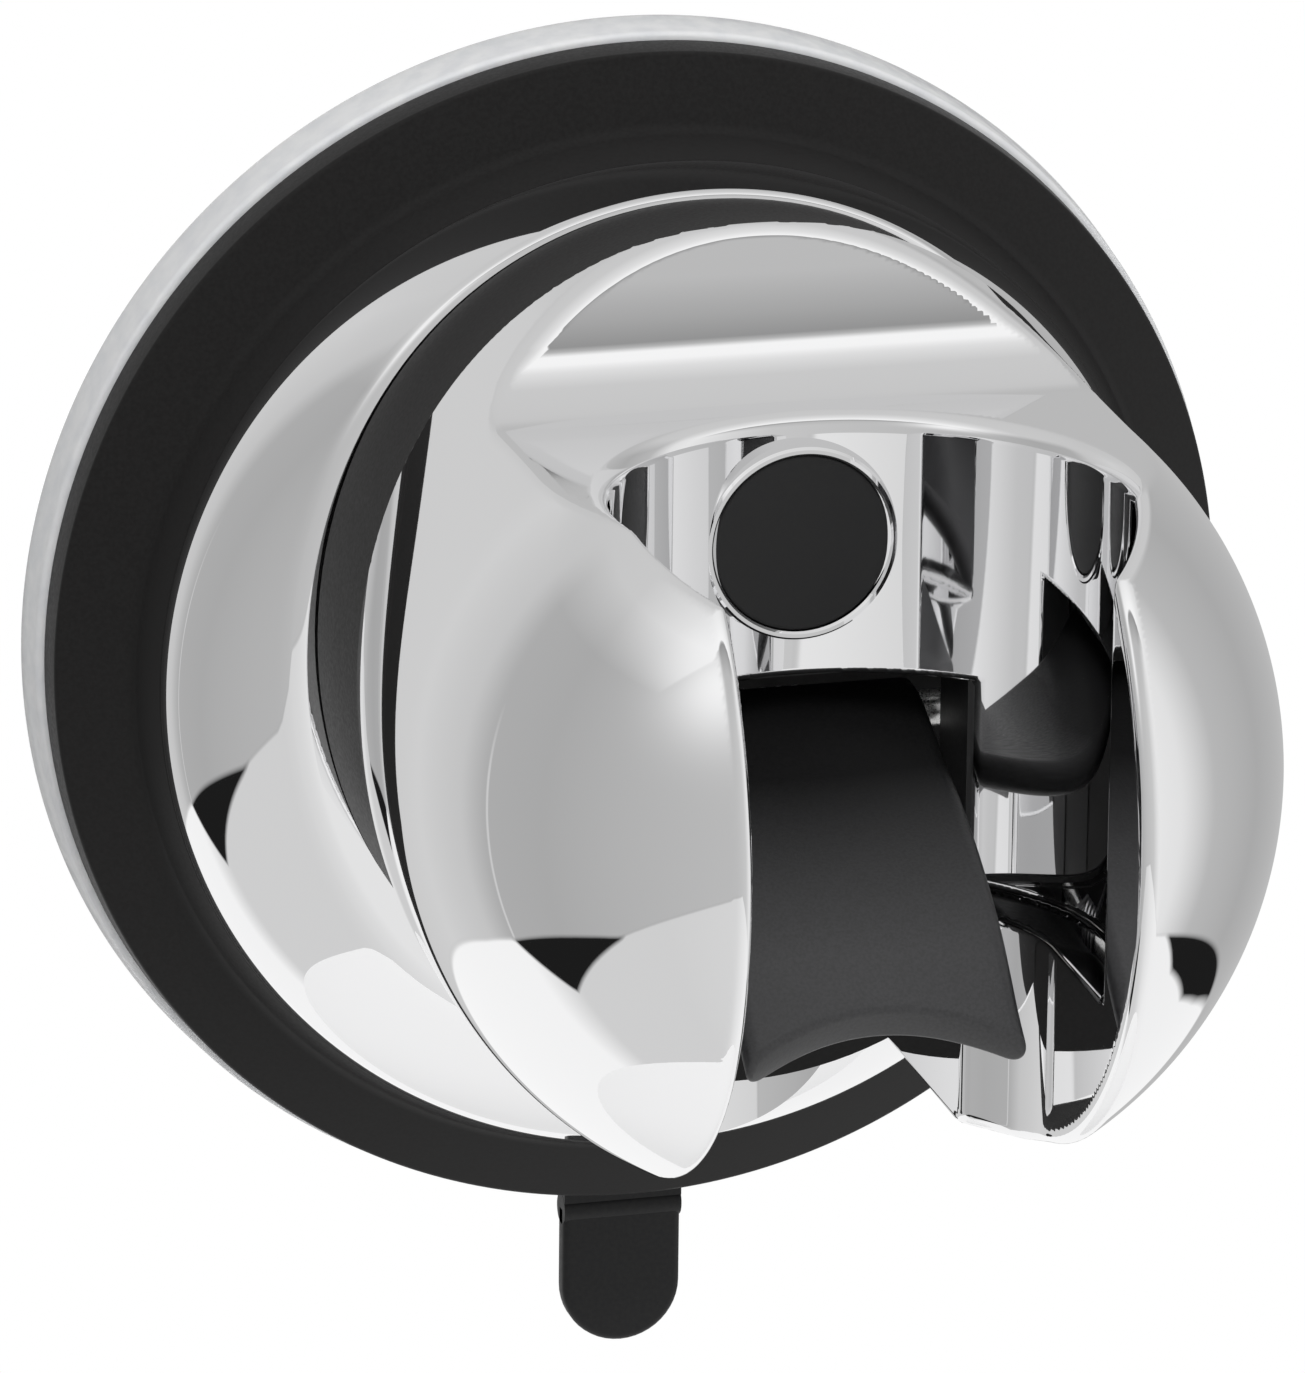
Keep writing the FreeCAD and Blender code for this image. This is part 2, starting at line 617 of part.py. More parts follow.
def holder_outside():
    body = loft(body_sections()).Solids[0]
    body = body.cut(roof_tool())
    body = body.cut(block(-60, 60, 0, 120, BODY_BOTTOM - 40, BODY_BOTTOM))
    bore = Part.makeCylinder(BORE_RADIUS, 60, at(0, BORE_DEPTH, LEDGE_HEIGHT), V(0, 0, 1))
    passage = Part.makeCylinder(SLOT_HALF, 90, at(0, BORE_DEPTH, -50), V(0, 0, 1))
    slot = block(-SLOT_HALF, SLOT_HALF, BORE_DEPTH, BORE_DEPTH + 40, -50, 50)
    return body.cut(bore.fuse([passage, slot]))


def holder_cavity():
    wires = []
    for i in range(3):
        depth = NECK_FRONT - 0.5 + (CAVITY_FRONT - NECK_FRONT + 0.5) * i / 2
        wires.append(egg_wire(depth, BODY_BACK_UPPER, BODY_BACK_LOWER, BODY_WALL + 0.4))
    hollow = loft(wires)
    side = CHANNEL_HALF + CHANNEL_WALL
    keep = block(-60, 60, 30, 60, BODY_BOTTOM + BODY_WALL, CAVITY_TOP)
    hollow = hollow.common(keep)
    hollow = hollow.cut(block(-side, side, 30, 60, -40, CHANNEL_TOP + CHANNEL_WALL))
    return hollow.cut(rod(MAIN_BOSS_RADIUS, 30, 60, 0, MAIN_HEIGHT))


def holder_body():
    body = holder_outside()
    body = body.cut(holder_cavity())
    for half, low, high in ((CHANNEL_HALF, LEDGE_HEIGHT, CHANNEL_TOP), (CHANNEL_FOOT_HALF, -50, LEDGE_HEIGHT)):
        body = body.cut(block(-half, half, NECK_FRONT - 1, BORE_DEPTH, low, high))
    body = rounded(body, cradle_edges(body), LIP_EDGE, "holder_body")
    body = body.cut(rod(MAIN_RADIUS + 0.1, 30, 60, 0, MAIN_HEIGHT))
    body = body.cut(rod(MAIN_HEAD_RADIUS + 0.4, MAIN_SEAT, 60, 0, MAIN_HEIGHT))
    body = body.cut(rod(PLUG_RADIUS, PLUG_FRONT - PLUG_THICK, 60, 0, MAIN_HEIGHT))
    depth, z = TONGUE_PIVOT
    body = body.cut(crossbar(TONGUE_PIN_RADIUS, CHANNEL_HALF + CHANNEL_WALL + 3, depth, z))
    save("holder_body", one(body))


def cradle_edges(body):
    """The edges where the bore and the slot come out of the top and the front."""
    count = {}
    edges = {}
    for face in body.Faces:
        round_wall = isinstance(face.Surface, Part.Cylinder) and abs(face.Surface.Radius - BORE_RADIUS) < 0.01
        box = face.BoundBox
        flat_wall = box.XLength < 0.01 and abs(abs(box.XMax) - SLOT_HALF) < 0.01
        if round_wall or flat_wall:
            for edge in face.Edges:
                key = edge.hashCode()
                count[key] = count.get(key, 0) + 1
                edges[key] = edge
    open_edges = [edges[key] for key in edges if count[key] == 1]
    return [edge for edge in open_edges if edge.BoundBox.ZMax > SHELF_HEIGHT - 0.1
            or edge.BoundBox.YMin < -BORE_DEPTH - 7 and edge.BoundBox.ZLength > 1]


def main_screw():
    seat = MAIN_SEAT
    head = rod(MAIN_HEAD_RADIUS, seat + 0.8, seat + 0.8 + MAIN_HEAD, 0, MAIN_HEIGHT)
    head = head.cut(rod(1.6, seat + 1.8, seat + 9, 0, MAIN_HEIGHT))
    shank = rod(MAIN_RADIUS, frame_front(), seat + 0.8, 0, MAIN_HEIGHT)
    save("main_screw", one(head.fuse(shank)))


def screw_washer():
    ring = rod(MAIN_HEAD_RADIUS, MAIN_SEAT, MAIN_SEAT + 0.8, 0, MAIN_HEIGHT)
    save("screw_washer", one(ring.cut(rod(MAIN_RADIUS, MAIN_SEAT - 1, MAIN_SEAT + 2, 0, MAIN_HEIGHT))))


def screw_plug():
    back = PLUG_FRONT - PLUG_THICK
    cap = rod(PLUG_RADIUS - 0.03, back, PLUG_FRONT, 0, MAIN_HEIGHT)
    rim = [e for e in cap.Edges if e.BoundBox.YLength < 0.01 and e.BoundBox.YMax < 0.01 - PLUG_FRONT]
    cap = rounded(cap, rim, 0.3, "screw_plug")
    skirt = rod(MAIN_HEAD_RADIUS + 0.35, back - 0.9, back, 0, MAIN_HEIGHT)
    skirt = skirt.cut(rod(MAIN_HEAD_RADIUS - 0.6, back - 2, back, 0, MAIN_HEIGHT))
    save("screw_plug", one(cap.fuse(skirt)))


def insert_nut():
    back = FLOOR_FRONT + WASHER_THICK + RUNNING_GAP + CAM_FLANGE + 1
    front = back + INSERT_LONG
    nut = rod(INSERT_RADIUS, back, front, 0, MAIN_HEIGHT)
    save("insert_nut", one(nut.cut(rod(MAIN_RADIUS, back - 1, front + 1, 0, MAIN_HEIGHT))))


# ---------------------------------------------------------------- grip tongue

def tongue_section(index):
    """One cross-section of the blade, square to its top line, with fully rounded sides."""
    depth, z, drop = TONGUE_LINE[index]
    before = TONGUE_LINE[max(index - 1, 0)]
    after = TONGUE_LINE[min(index + 1, len(TONGUE_LINE) - 1)]
    length = math.hypot(after[0] - before[0], after[1] - before[1])
    up = ((before[1] - after[1]) / length, (after[0] - before[0]) / length)
    half = TONGUE_THICK / 2

    def spot(x, rise):
        return at(x, depth + rise * up[0], z + rise * up[1])
    side = TONGUE_HALF - half
    tuck = drop * (side / 2) ** 2 / side ** 2
    top = Part.BSplineCurve()
    top.interpolate([spot(-side, -drop), spot(-side / 2, -tuck), spot(0, 0), spot(side / 2, -tuck),
                     spot(side, -drop)])
    bottom = Part.BSplineCurve()
    thick = TONGUE_THICK
    bottom.interpolate([spot(side, -drop - thick), spot(side / 2, -tuck - thick), spot(0, -thick),
                        spot(-side / 2, -tuck - thick), spot(-side, -drop - thick)])
    right = Part.Arc(spot(side, -drop), spot(TONGUE_HALF, -drop - half), spot(side, -drop - thick))
    left = Part.Arc(spot(-side, -drop - thick), spot(-TONGUE_HALF, -drop - half), spot(-side, -drop))
    return Part.Wire([top.toShape(), right.toShape(), bottom.toShape(), left.toShape()])


def grip_tongue():
    """Sprung blade that the shower's cone rests on; its lip is arched to the hose nut."""
    blade = loft([tongue_section(i) for i in range(len(TONGUE_LINE))]).Solids[0]
    notch = Part.makeCylinder(TONGUE_NOTCH, 80, at(0, TONGUE_REACH + TONGUE_NOTCH, -40), V(0, 0, 1))
    blade = blade.cut(notch)
    depth, z = TONGUE_PIVOT
    blade = blade.fuse(crossbar(TONGUE_HUB, TONGUE_HALF, depth, z))
    blade = blade.fuse(crossbar(HEEL_RADIUS, TONGUE_HALF, HEEL_DEPTH, CHANNEL_TOP - FREE_GAP - HEEL_RADIUS))
    blade = blade.cut(crossbar(TONGUE_PIN_RADIUS + RUNNING_GAP, TONGUE_HALF + 1, depth, z))
    room = COIL_MEAN + COIL_WIRE / 2 + FREE_GAP
    gap = COIL_HALF + FREE_GAP
    blade = blade.cut(crossbar(room, gap, depth, z))
    blade = blade.cut(block(-gap, gap, depth - room, depth + room + 0.2, z - 9, z))
    blade = blade.cut(block(-gap, gap, 30, depth, z - 9, z - 0.6))
    save("grip_tongue", one(blade))


def tongue_pin():
    depth, z = TONGUE_PIVOT
    save("tongue_pin", crossbar(TONGUE_PIN_RADIUS, CHANNEL_HALF + CHANNEL_WALL + 1.6, depth, z))


def tongue_spring():
    """Torsion coil on the pin; one leg sits in the neck and the other lifts the tongue."""
    depth, z = TONGUE_PIVOT
    wire = COIL_WIRE / 2
    spring = coil(wire, COIL_MEAN, COIL_TURNS, 2 * COIL_HALF - COIL_WIRE)
    spring.rotate(V(0, 0, 0), V(0, 1, 0), 90)
    spring.translate(at(wire - COIL_HALF, depth, z))
    spring = spring.Solids[0]
    low = z - COIL_MEAN
    thin = wire - 0.01
    spring = spring.fuse(rod(thin, depth - 0.4, depth + LEG_REACH, wire - COIL_HALF, low))
    spring = spring.fuse(rod(thin, LEG_END, depth + 0.4, COIL_HALF - wire, low))
    save("tongue_spring", spring.Solids[0])


def pin_clips():
    """Push-on clips that keep the tongue pin in the side walls."""
    depth, z = TONGUE_PIVOT
    inner = CHANNEL_HALF + CHANNEL_WALL
    clips = []
    for side in (-1, 1):
        start = inner if side > 0 else -inner - CLIP_THICK
        clip = Part.makeCylinder(CLIP_RADIUS, CLIP_THICK, at(start, depth, z), V(1, 0, 0))
        clips.append(one(clip.cut(crossbar(TONGUE_PIN_RADIUS, 30, depth, z))))
    save("pin_clips", *clips)


suction_pad()
pad_diaphragm()
tab_anchor()
release_tab()
base_plate()
rim_seal()
stop_pin()
thrust_washer()
pad_core()
draw_bar()
cross_pin()
return_spring()
cam_ring()
dome_shell()
turret_frame()
neck_collar()
neck_gasket()
frame_screws()
holder_body()
main_screw()
screw_washer()
screw_plug()
insert_nut()
grip_tongue()
tongue_pin()
tongue_spring()
pin_clips()
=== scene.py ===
import math
import bpy
import bmesh
import numpy as np
from mathutils import Matrix, Vector


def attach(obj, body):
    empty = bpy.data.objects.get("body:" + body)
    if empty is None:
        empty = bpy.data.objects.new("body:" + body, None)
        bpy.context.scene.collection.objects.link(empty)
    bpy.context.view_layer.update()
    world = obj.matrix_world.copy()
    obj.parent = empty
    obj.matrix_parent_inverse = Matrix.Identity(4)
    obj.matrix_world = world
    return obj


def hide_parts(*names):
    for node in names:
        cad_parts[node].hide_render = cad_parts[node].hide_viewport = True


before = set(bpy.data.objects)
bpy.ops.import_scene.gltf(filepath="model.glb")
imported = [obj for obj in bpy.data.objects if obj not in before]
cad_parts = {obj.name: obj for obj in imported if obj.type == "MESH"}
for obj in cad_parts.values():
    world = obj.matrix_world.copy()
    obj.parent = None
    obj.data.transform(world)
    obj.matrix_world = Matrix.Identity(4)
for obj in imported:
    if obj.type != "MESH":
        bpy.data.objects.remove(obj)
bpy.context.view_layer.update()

mm = 0.001
scene = bpy.context.scene
scene.view_settings.view_transform = "Standard"

# ------------------------------------------------------------------ camera
# A long lens, a little to the left of the holder and looking down on it.
look_azimuth = math.radians(-15.477)
look_elevation = math.radians(18.329)
look_roll = math.radians(0.65)
look_target = Vector((1.602, -3.8, -4.975)) * mm
look_distance = 800 * mm

lens = bpy.data.cameras.new("studio_camera")
lens.sensor_width = 36
lens.lens = 295.97
lens.clip_start = 0.05
camera = bpy.data.objects.new("studio_camera", lens)
scene.collection.objects.link(camera)
right = Vector((math.cos(look_azimuth), math.sin(look_azimuth), 0))
back = Vector((math.sin(look_azimuth) * math.cos(look_elevation),
               -math.cos(look_azimuth) * math.cos(look_elevation), math.sin(look_elevation)))
up = back.cross(right)
rolled_right = right * math.cos(look_roll) + up * math.sin(look_roll)
rolled_up = up * math.cos(look_roll) - right * math.sin(look_roll)
turn = Matrix((rolled_right, rolled_up, back)).transposed()
camera.matrix_world = Matrix.Translation(look_target + back * look_distance) @ turn.to_4x4()
scene.camera = camera

# ------------------------------------------------------------------ studio
# A pale table under the holder and a grey light tent round it, with one bright panel overhead, a
# soft glow at the left and a dark slit at each side above the table, which the chrome shows.
table_drop = 260 * mm
table_reach = 170 * mm
slit_tone = 0.012
line_tone = 0.62            # a seam of the tent that shows as a fine pale line
line_azimuth = -115         # directions are in degrees, 0 ahead of the holder and right positive
glow_azimuth = -52
glow_elevation = 35
glow_width = 17
glow_height = 14
glow_tone = 0.95
patch_azimuth = 165.15      # a tiny dark patch behind, which shows as a speck on the flat shelf
patch_elevation = 17.13
patch_width = 0.5
patch_height = 0.13
patch_tone = 0.09

world = bpy.data.worlds.new("light_tent")
scene.world = world
world.use_nodes = True
tent = world.node_tree
tent.nodes.clear()


def step_node(operation, *inputs, clamp=False):
    """A maths node of the tent, fed with numbers or with the outputs of other nodes."""
    node = tent.nodes.new("ShaderNodeMath")
    node.operation = operation
    node.use_clamp = clamp
    for socket, value in zip(node.inputs, inputs):
        if isinstance(value, (int, float)):
            socket.default_value = value
        else:
            tent.links.new(value, socket)
    return node.outputs[0]


def tone_run(value, low, high, stops):
    """A grey that follows a value through stops, each (value, grey)."""
    share = step_node("DIVIDE", step_node("SUBTRACT", value, low), high - low, clamp=True)
    ramp = tent.nodes.new("ShaderNodeValToRGB")
    elements = ramp.color_ramp.elements
    while len(elements) < len(stops):
        elements.new(0.5)
    for element, (stop, grey) in zip(elements, stops):
        element.position = (stop - low) / (high - low)
        element.color = (grey, grey, grey, 1)
    tent.links.new(share, ramp.inputs["Fac"])
    return ramp.outputs["Color"]


def blend(share, first, second):
    """Goes from a first tone to a second as the share goes from 0 to 1."""
    return step_node("ADD", first, step_node("MULTIPLY", share, step_node("SUBTRACT", second, first)))


def rise(value, start, finish):
    """0 before the start, 1 after the finish."""
    span = step_node("SUBTRACT", finish, start)
    return step_node("DIVIDE", step_node("SUBTRACT", value, start), span, clamp=True)


place = tent.nodes.new("ShaderNodeTexCoord")
split = tent.nodes.new("ShaderNodeSeparateXYZ")
tent.links.new(place.outputs["Generated"], split.inputs[0])
ahead = step_node("MULTIPLY", split.outputs["Y"], -1)
azimuth = step_node("DEGREES", step_node("ARCTAN2", split.outputs["X"], ahead))
elevation = step_node("DEGREES", step_node("ARCSINE", split.outputs["Z"]))
side = tone_run(azimuth, -180, 180, [(-180, 0.60), (-150, 0.66), (-126, 0.58), (-116, 0.44), (-95, 0.42),
                                     (-70, 0.47), (-40, 0.52), (-10, 0.55), (30, 0.6), (72, 0.85),
                                     (82, 0.8), (96, 0.5), (120, 0.42), (150, 0.5), (180, 0.52)])
run_ahead = step_node("DIVIDE", ahead, step_node("MAXIMUM", split.outputs["Z"], 0.05))
panel = tone_run(run_ahead, -2, 2, [(-2, 0.52), (-0.8, 0.6), (-0.1, 0.62), (0.3, 0.78), (0.60, 0.97),
                                    (0.63, 0.97), (0.645, 0.30), (0.74, 0.40), (0.9, 0.52), (2, 0.56)])
upper = blend(rise(elevation, 28.0, 42.0), side, panel)
glow_across = step_node("DIVIDE", step_node("SUBTRACT", azimuth, glow_azimuth), glow_width)
glow_along = step_node("DIVIDE", step_node("SUBTRACT", elevation, glow_elevation), glow_height)
glow_off = step_node("ADD", step_node("POWER", glow_across, 2), step_node("POWER", glow_along, 2))
upper = blend(step_node("EXPONENT", step_node("MULTIPLY", glow_off, -1)), upper, glow_tone)
line_off = step_node("ABSOLUTE", step_node("SUBTRACT", azimuth, line_azimuth))
line_share = step_node("MULTIPLY", step_node("SUBTRACT", 1, rise(line_off, 0.25, 0.6)),
                       step_node("SUBTRACT", 1, rise(elevation, -6.0, 8.0)))
upper = blend(line_share, upper, line_tone)
patch_across = step_node("DIVIDE", step_node("SUBTRACT", azimuth, patch_azimuth), patch_width)
patch_along = step_node("DIVIDE", step_node("SUBTRACT", elevation, patch_elevation), patch_height)
patch_off = step_node("ADD", step_node("POWER", patch_across, 2), step_node("POWER", patch_along, 2))
upper = blend(rise(patch_off, 1.15, 0.85), upper, patch_tone)
lower = tone_run(azimuth, -180, 180, [(-180, 0.97), (-112, 0.95), (-98, 0.66), (-60, 0.66),
                                      (-30, 0.72), (0, 0.8), (60, 0.9), (180, 0.97)])
edge = step_node("MULTIPLY", -60, tone_run(azimuth, -180, 180, [
    (-180, 0.5), (-130, 0.54), (-115, 0.54), (-75, 0.49), (-40, 0.27), (0, 0.25), (45, 0.4), (80, 0.5),
    (180, 0.5)]))
slit = step_node("MULTIPLY", 60, tone_run(azimuth, -180, 180, [
    (-180, 0.0), (-116, 0.0), (-100, 0.19), (-73, 0.0), (86, 0.0), (98, 0.09), (115, 0.11), (126, 0.07),
    (140, 0.0)]))
above_edge = rise(elevation, step_node("SUBTRACT", edge, 0.5), step_node("ADD", edge, 0.5))
under = step_node("SUBTRACT", 1, above_edge)
tone = blend(under, upper, lower)
slit_foot = step_node("SUBTRACT", edge, slit)
in_slit = step_node("MULTIPLY", under, rise(elevation, step_node("SUBTRACT", slit_foot, 0.3),
                                            step_node("ADD", slit_foot, 0.8)))
tone = blend(in_slit, tone, slit_tone)
glow = tent.nodes.new("ShaderNodeBackground")
clear = tent.nodes.new("ShaderNodeBackground")
clear.inputs["Color"].default_value = (1, 1, 1, 1)
clear.inputs["Strength"].default_value = 1.0
ray = tent.nodes.new("ShaderNodeLightPath")
mix = tent.nodes.new("ShaderNodeMixShader")
out = tent.nodes.new("ShaderNodeOutputWorld")
tent.links.new(tone, glow.inputs["Color"])
tent.links.new(ray.outputs["Is Camera Ray"], mix.inputs["Fac"])
tent.links.new(glow.outputs[0], mix.inputs[1])
tent.links.new(clear.outputs[0], mix.inputs[2])
tent.links.new(mix.outputs[0], out.inputs["Surface"])

bm = bmesh.new()
bmesh.ops.create_circle(bm, cap_ends=True, segments=96, radius=table_reach)
bmesh.ops.translate(bm, vec=(0, -40 * mm, -table_drop), verts=bm.verts)
table_mesh = bpy.data.meshes.new("pale_table")
bm.to_mesh(table_mesh)
bm.free()
table = bpy.data.objects.new("pale_table", table_mesh)
scene.collection.objects.link(table)
paper = bpy.data.materials.new("white_paper")
paper.use_nodes = True
sheet_shader = paper.node_tree.nodes["Principled BSDF"]
sheet_shader.inputs["Base Color"].default_value = (0.8, 0.8, 0.8, 1)
sheet_shader.inputs["Roughness"].default_value = 0.9
sheet_shader.inputs["Emission Color"].default_value = (1, 1, 1, 1)
sheet_shader.inputs["Emission Strength"].default_value = 0.15
table_mesh.materials.append(paper)


def softbox(name, place, aim, width, tall, power):
    """A soft rectangular lamp that faces a point and doesn't show in the chrome."""
    lamp = bpy.data.lights.new(name, "AREA")
    lamp.shape = "RECTANGLE"
    lamp.size = width
    lamp.size_y = tall
    lamp.energy = power
    stand = bpy.data.objects.new(name, lamp)
    scene.collection.objects.link(stand)
    stand.location = place
    stand.rotation_euler = (Vector(aim) - Vector(place)).to_track_quat("-Z", "Y").to_euler()
    stand.visible_glossy = False


softbox("overhead_light", (-0.1, -0.45, 0.8), (0, -0.03, 0), 0.6, 0.5, 5.0)

# ------------------------------------------------------------------ suction pad
# A milky, translucent disc of soft gel with a flat sealing rim. It is cast in one piece and
# its outer edge shows as a pale band round the black ring.


def new_piece(name, bm, body, *nodes):
    """Makes an object of a bmesh, smooth but for its sharp edges, and joins it to its body."""
    bmesh.ops.recalc_face_normals(bm, faces=bm.faces)
    for face in bm.faces:
        face.smooth = True
    for edge in bm.edges:
        if len(edge.link_faces) == 2 and edge.calc_face_angle() > math.radians(35):
            edge.smooth = False
    mesh = bpy.data.meshes.new(name)
    bm.to_mesh(mesh)
    bm.free()
    piece = bpy.data.objects.new(name, mesh)
    scene.collection.objects.link(piece)
    if body:
        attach(piece, body)
    if nodes:
        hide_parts(*nodes)
    return piece


def at(x, depth, z):
    """A point from its sideways place, its depth out from the wall and its height, all in mm."""
    return Vector((x, -depth, z)) * mm


def arc_corner(before, corner, after, radius, steps=5):
    """Points that round one corner of a (radius, depth) outline."""
    corner = Vector(corner)
    inward = (Vector(before) - corner).normalized()
    onward = (Vector(after) - corner).normalized()
    half = inward.angle(onward) / 2
    centre = corner + (inward + onward).normalized() * (radius / math.sin(half))
    spoke = corner + inward * (radius / math.tan(half)) - centre
    swing = math.copysign(math.pi - 2 * half, inward.cross(onward))
    points = []
    for i in range(steps + 1):
        turn = -swing * i / steps
        points.append((centre.x + spoke.x * math.cos(turn) - spoke.y * math.sin(turn),
                       centre.y + spoke.x * math.sin(turn) + spoke.y * math.cos(turn)))
    return points


def turned(outline, segments=384):
    """Spins a closed (radius, depth) outline about the wall normal through the origin."""
    bm = bmesh.new()
    verts = [bm.verts.new(at(r, d, 0)) for r, d in outline]
    for i, vert in enumerate(verts):
        bm.edges.new((vert, verts[(i + 1) % len(verts)]))
    bmesh.ops.spin(bm, geom=bm.verts[:] + bm.edges[:], cent=(0, 0, 0), axis=(0, 1, 0),
                   angle=2 * math.pi, steps=segments, use_merge=True)
    bmesh.ops.remove_doubles(bm, verts=bm.verts, dist=1e-6)
    return bm


def surface(name, colour, rough, metal=0.0):
    """A material with its shader's constants set, and its nodes for more."""
    material = bpy.data.materials.new(name)
    material.use_nodes = True
    shader = material.node_tree.nodes["Principled BSDF"]
    shader.inputs["Base Color"].default_value = (*colour, 1)
    shader.inputs["Roughness"].default_value = rough
    shader.inputs["Metallic"].default_value = metal
    return material, shader


def grain(material, shader, size, depth, spread=0.0, colours=None):
    """Fine moulded grain: bump, a little change of roughness and of colour, by place."""
    tree = material.node_tree
    spot = tree.nodes.new("ShaderNodeTexCoord")
    speck = tree.nodes.new("ShaderNodeTexNoise")
    speck.inputs["Scale"].default_value = 1 / (size * mm)
    speck.inputs["Detail"].default_value = 3
    relief = tree.nodes.new("ShaderNodeBump")
    relief.inputs["Distance"].default_value = depth * mm
    relief.inputs["Strength"].default_value = 1.0
    tree.links.new(spot.outputs["Object"], speck.inputs["Vector"])
    tree.links.new(speck.outputs["Fac"], relief.inputs["Height"])
    tree.links.new(relief.outputs["Normal"], shader.inputs["Normal"])
    if spread:
        rough = shader.inputs["Roughness"].default_value
        gloss = tree.nodes.new("ShaderNodeMapRange")
        gloss.inputs["From Min"].default_value = 0.3
        gloss.inputs["From Max"].default_value = 0.7
        gloss.inputs["To Min"].default_value = rough - spread
        gloss.inputs["To Max"].default_value = rough + spread
        tree.links.new(speck.outputs["Fac"], gloss.inputs["Value"])
        tree.links.new(gloss.outputs["Result"], shader.inputs["Roughness"])
    if colours:
        shade = tree.nodes.new("ShaderNodeValToRGB")
        for element, colour, stop in zip(shade.color_ramp.elements, colours, (0.35, 0.65)):
            element.color = (*colour, 1)
            element.position = stop
        tree.links.new(speck.outputs["Fac"], shade.inputs["Fac"])
        tree.links.new(shade.outputs["Color"], shader.inputs["Base Color"])


pad_rim = [(26.0, 0.0), (43.0, 0.0), *arc_corner((43.0, 0.0), (43.3, 0.1), (43.2, 2.0), 0.1, 2),
           *arc_corner((43.3, 0.6), (42.95, 3.8), (30.0, 3.8), 0.5), (26.0, 3.8)]
pad = new_piece("gel_pad_rim", turned(pad_rim), "base", "suction_pad")
gel, gel_shader = surface("milky_gel", (0.86, 0.87, 0.88), 0.22)
gel_shader.inputs["Transmission Weight"].default_value = 0.35
gel_shader.inputs["IOR"].default_value = 1.45
gel_shader.inputs["Subsurface Weight"].default_value = 0.4
gel_shader.inputs["Subsurface Radius"].default_value = (0.004, 0.004, 0.004)
grain(gel, gel_shader, 1.6, 0.01, 0.05, [(0.82, 0.83, 0.85), (0.9, 0.905, 0.91)])
pad.data.materials.append(gel)


def dress(material, *nodes):
    """Gives carried-over pieces of the frame a finished material."""
    for node in nodes:
        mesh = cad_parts[node].data
        mesh.materials.clear()
        mesh.materials.append(material)


dress(gel, "pad_diaphragm")

# ------------------------------------------------------------------ pull tab
# A flat strap of black flexible plastic under the ring, with a fully rounded end. Pulling it
# outwards lifts the rim of the pad and lets the air in.
tab_half = 4.35
tab_root = -44.6
tab_tip = -54.9
tab_back = 1.25
tab_front = 3.15

bm = bmesh.new()
corner_count = 24
outline = [(-tab_half, tab_root)]
for i in range(corner_count + 1):
    angle = math.pi + math.pi * i / corner_count
    outline.append((tab_half * math.cos(angle), tab_tip + tab_half + tab_half * math.sin(angle)))
outline.append((tab_half, tab_root))
bm.faces.new([bm.verts.new(at(x, tab_back, z)) for x, z in outline])
grown = bmesh.ops.extrude_face_region(bm, geom=bm.faces[:])
bmesh.ops.translate(bm, vec=at(0, tab_front - tab_back, 0),
                    verts=[v for v in grown["geom"] if isinstance(v, bmesh.types.BMVert)])
bm.normal_update()
rim_edges = [e for e in bm.edges if abs(e.verts[0].co.y - e.verts[1].co.y) < 1e-7
             and not all(abs(v.co.z - tab_root * mm) < 1e-7 for v in e.verts)]
bmesh.ops.bevel(bm, geom=rim_edges, offset=0.55 * mm, segments=4, profile=0.5, affect="EDGES", material=-1)
bead = bmesh.ops.create_cone(bm, cap_ends=True, segments=48, radius1=1.12 * mm, radius2=1.12 * mm,
                             depth=2 * tab_half * mm)
bmesh.ops.rotate(bm, cent=(0, 0, 0), matrix=Matrix.Rotation(math.pi / 2, 3, "Y"), verts=bead["verts"])
bmesh.ops.translate(bm, vec=at(0, 2.2, tab_root), verts=bead["verts"])
tab = new_piece("pull_tab", bm, "tab", "release_tab")
tab_skin, tab_shader = surface("tab_plastic", (0.012, 0.012, 0.013), 0.45)
tab_shader.inputs["Specular IOR Level"].default_value = 0.25
grain(tab_skin, tab_shader, 0.35, 0.004, 0.05, [(0.010, 0.010, 0.011), (0.015, 0.015, 0.015)])
tab.data.materials.append(tab_skin)
dress(tab_skin, "tab_anchor")

# ------------------------------------------------------------------ base ring
# The black ring moulded over the pad. Its broad face slopes to a soft crease, where a short
# lip rises to meet the chrome dome.
ring_points = [
    (24.0, 3.8), *arc_corner((30, 3.8), (42.5, 3.82), (42.3, 6.5), 0.25),
    *arc_corner((42.5, 3.9), (42.3, 6.55), (37.35, 8.9), 0.45, 6),
    *arc_corner((42.3, 6.5), (37.35, 8.9), (36.05, 12.2), 1.6, 12),
    *arc_corner((37.35, 8.9), (36.05, 12.2), (33.0, 12.2), 0.25), (32.7, 12.2), (32.7, 13.2), (24.0, 13.2)]
ring = new_piece("base_ring", turned(ring_points), "base", "base_plate")
ring_skin, ring_shader = surface("satin_black_plastic", (0.008, 0.0076, 0.0076), 0.45)
ring_shader.inputs["Specular IOR Level"].default_value = 0.22
grain(ring_skin, ring_shader, 0.3, 0.006, 0.06, [(0.0065, 0.006, 0.006), (0.010, 0.0096, 0.0095)])
ring.data.materials.append(ring_skin)

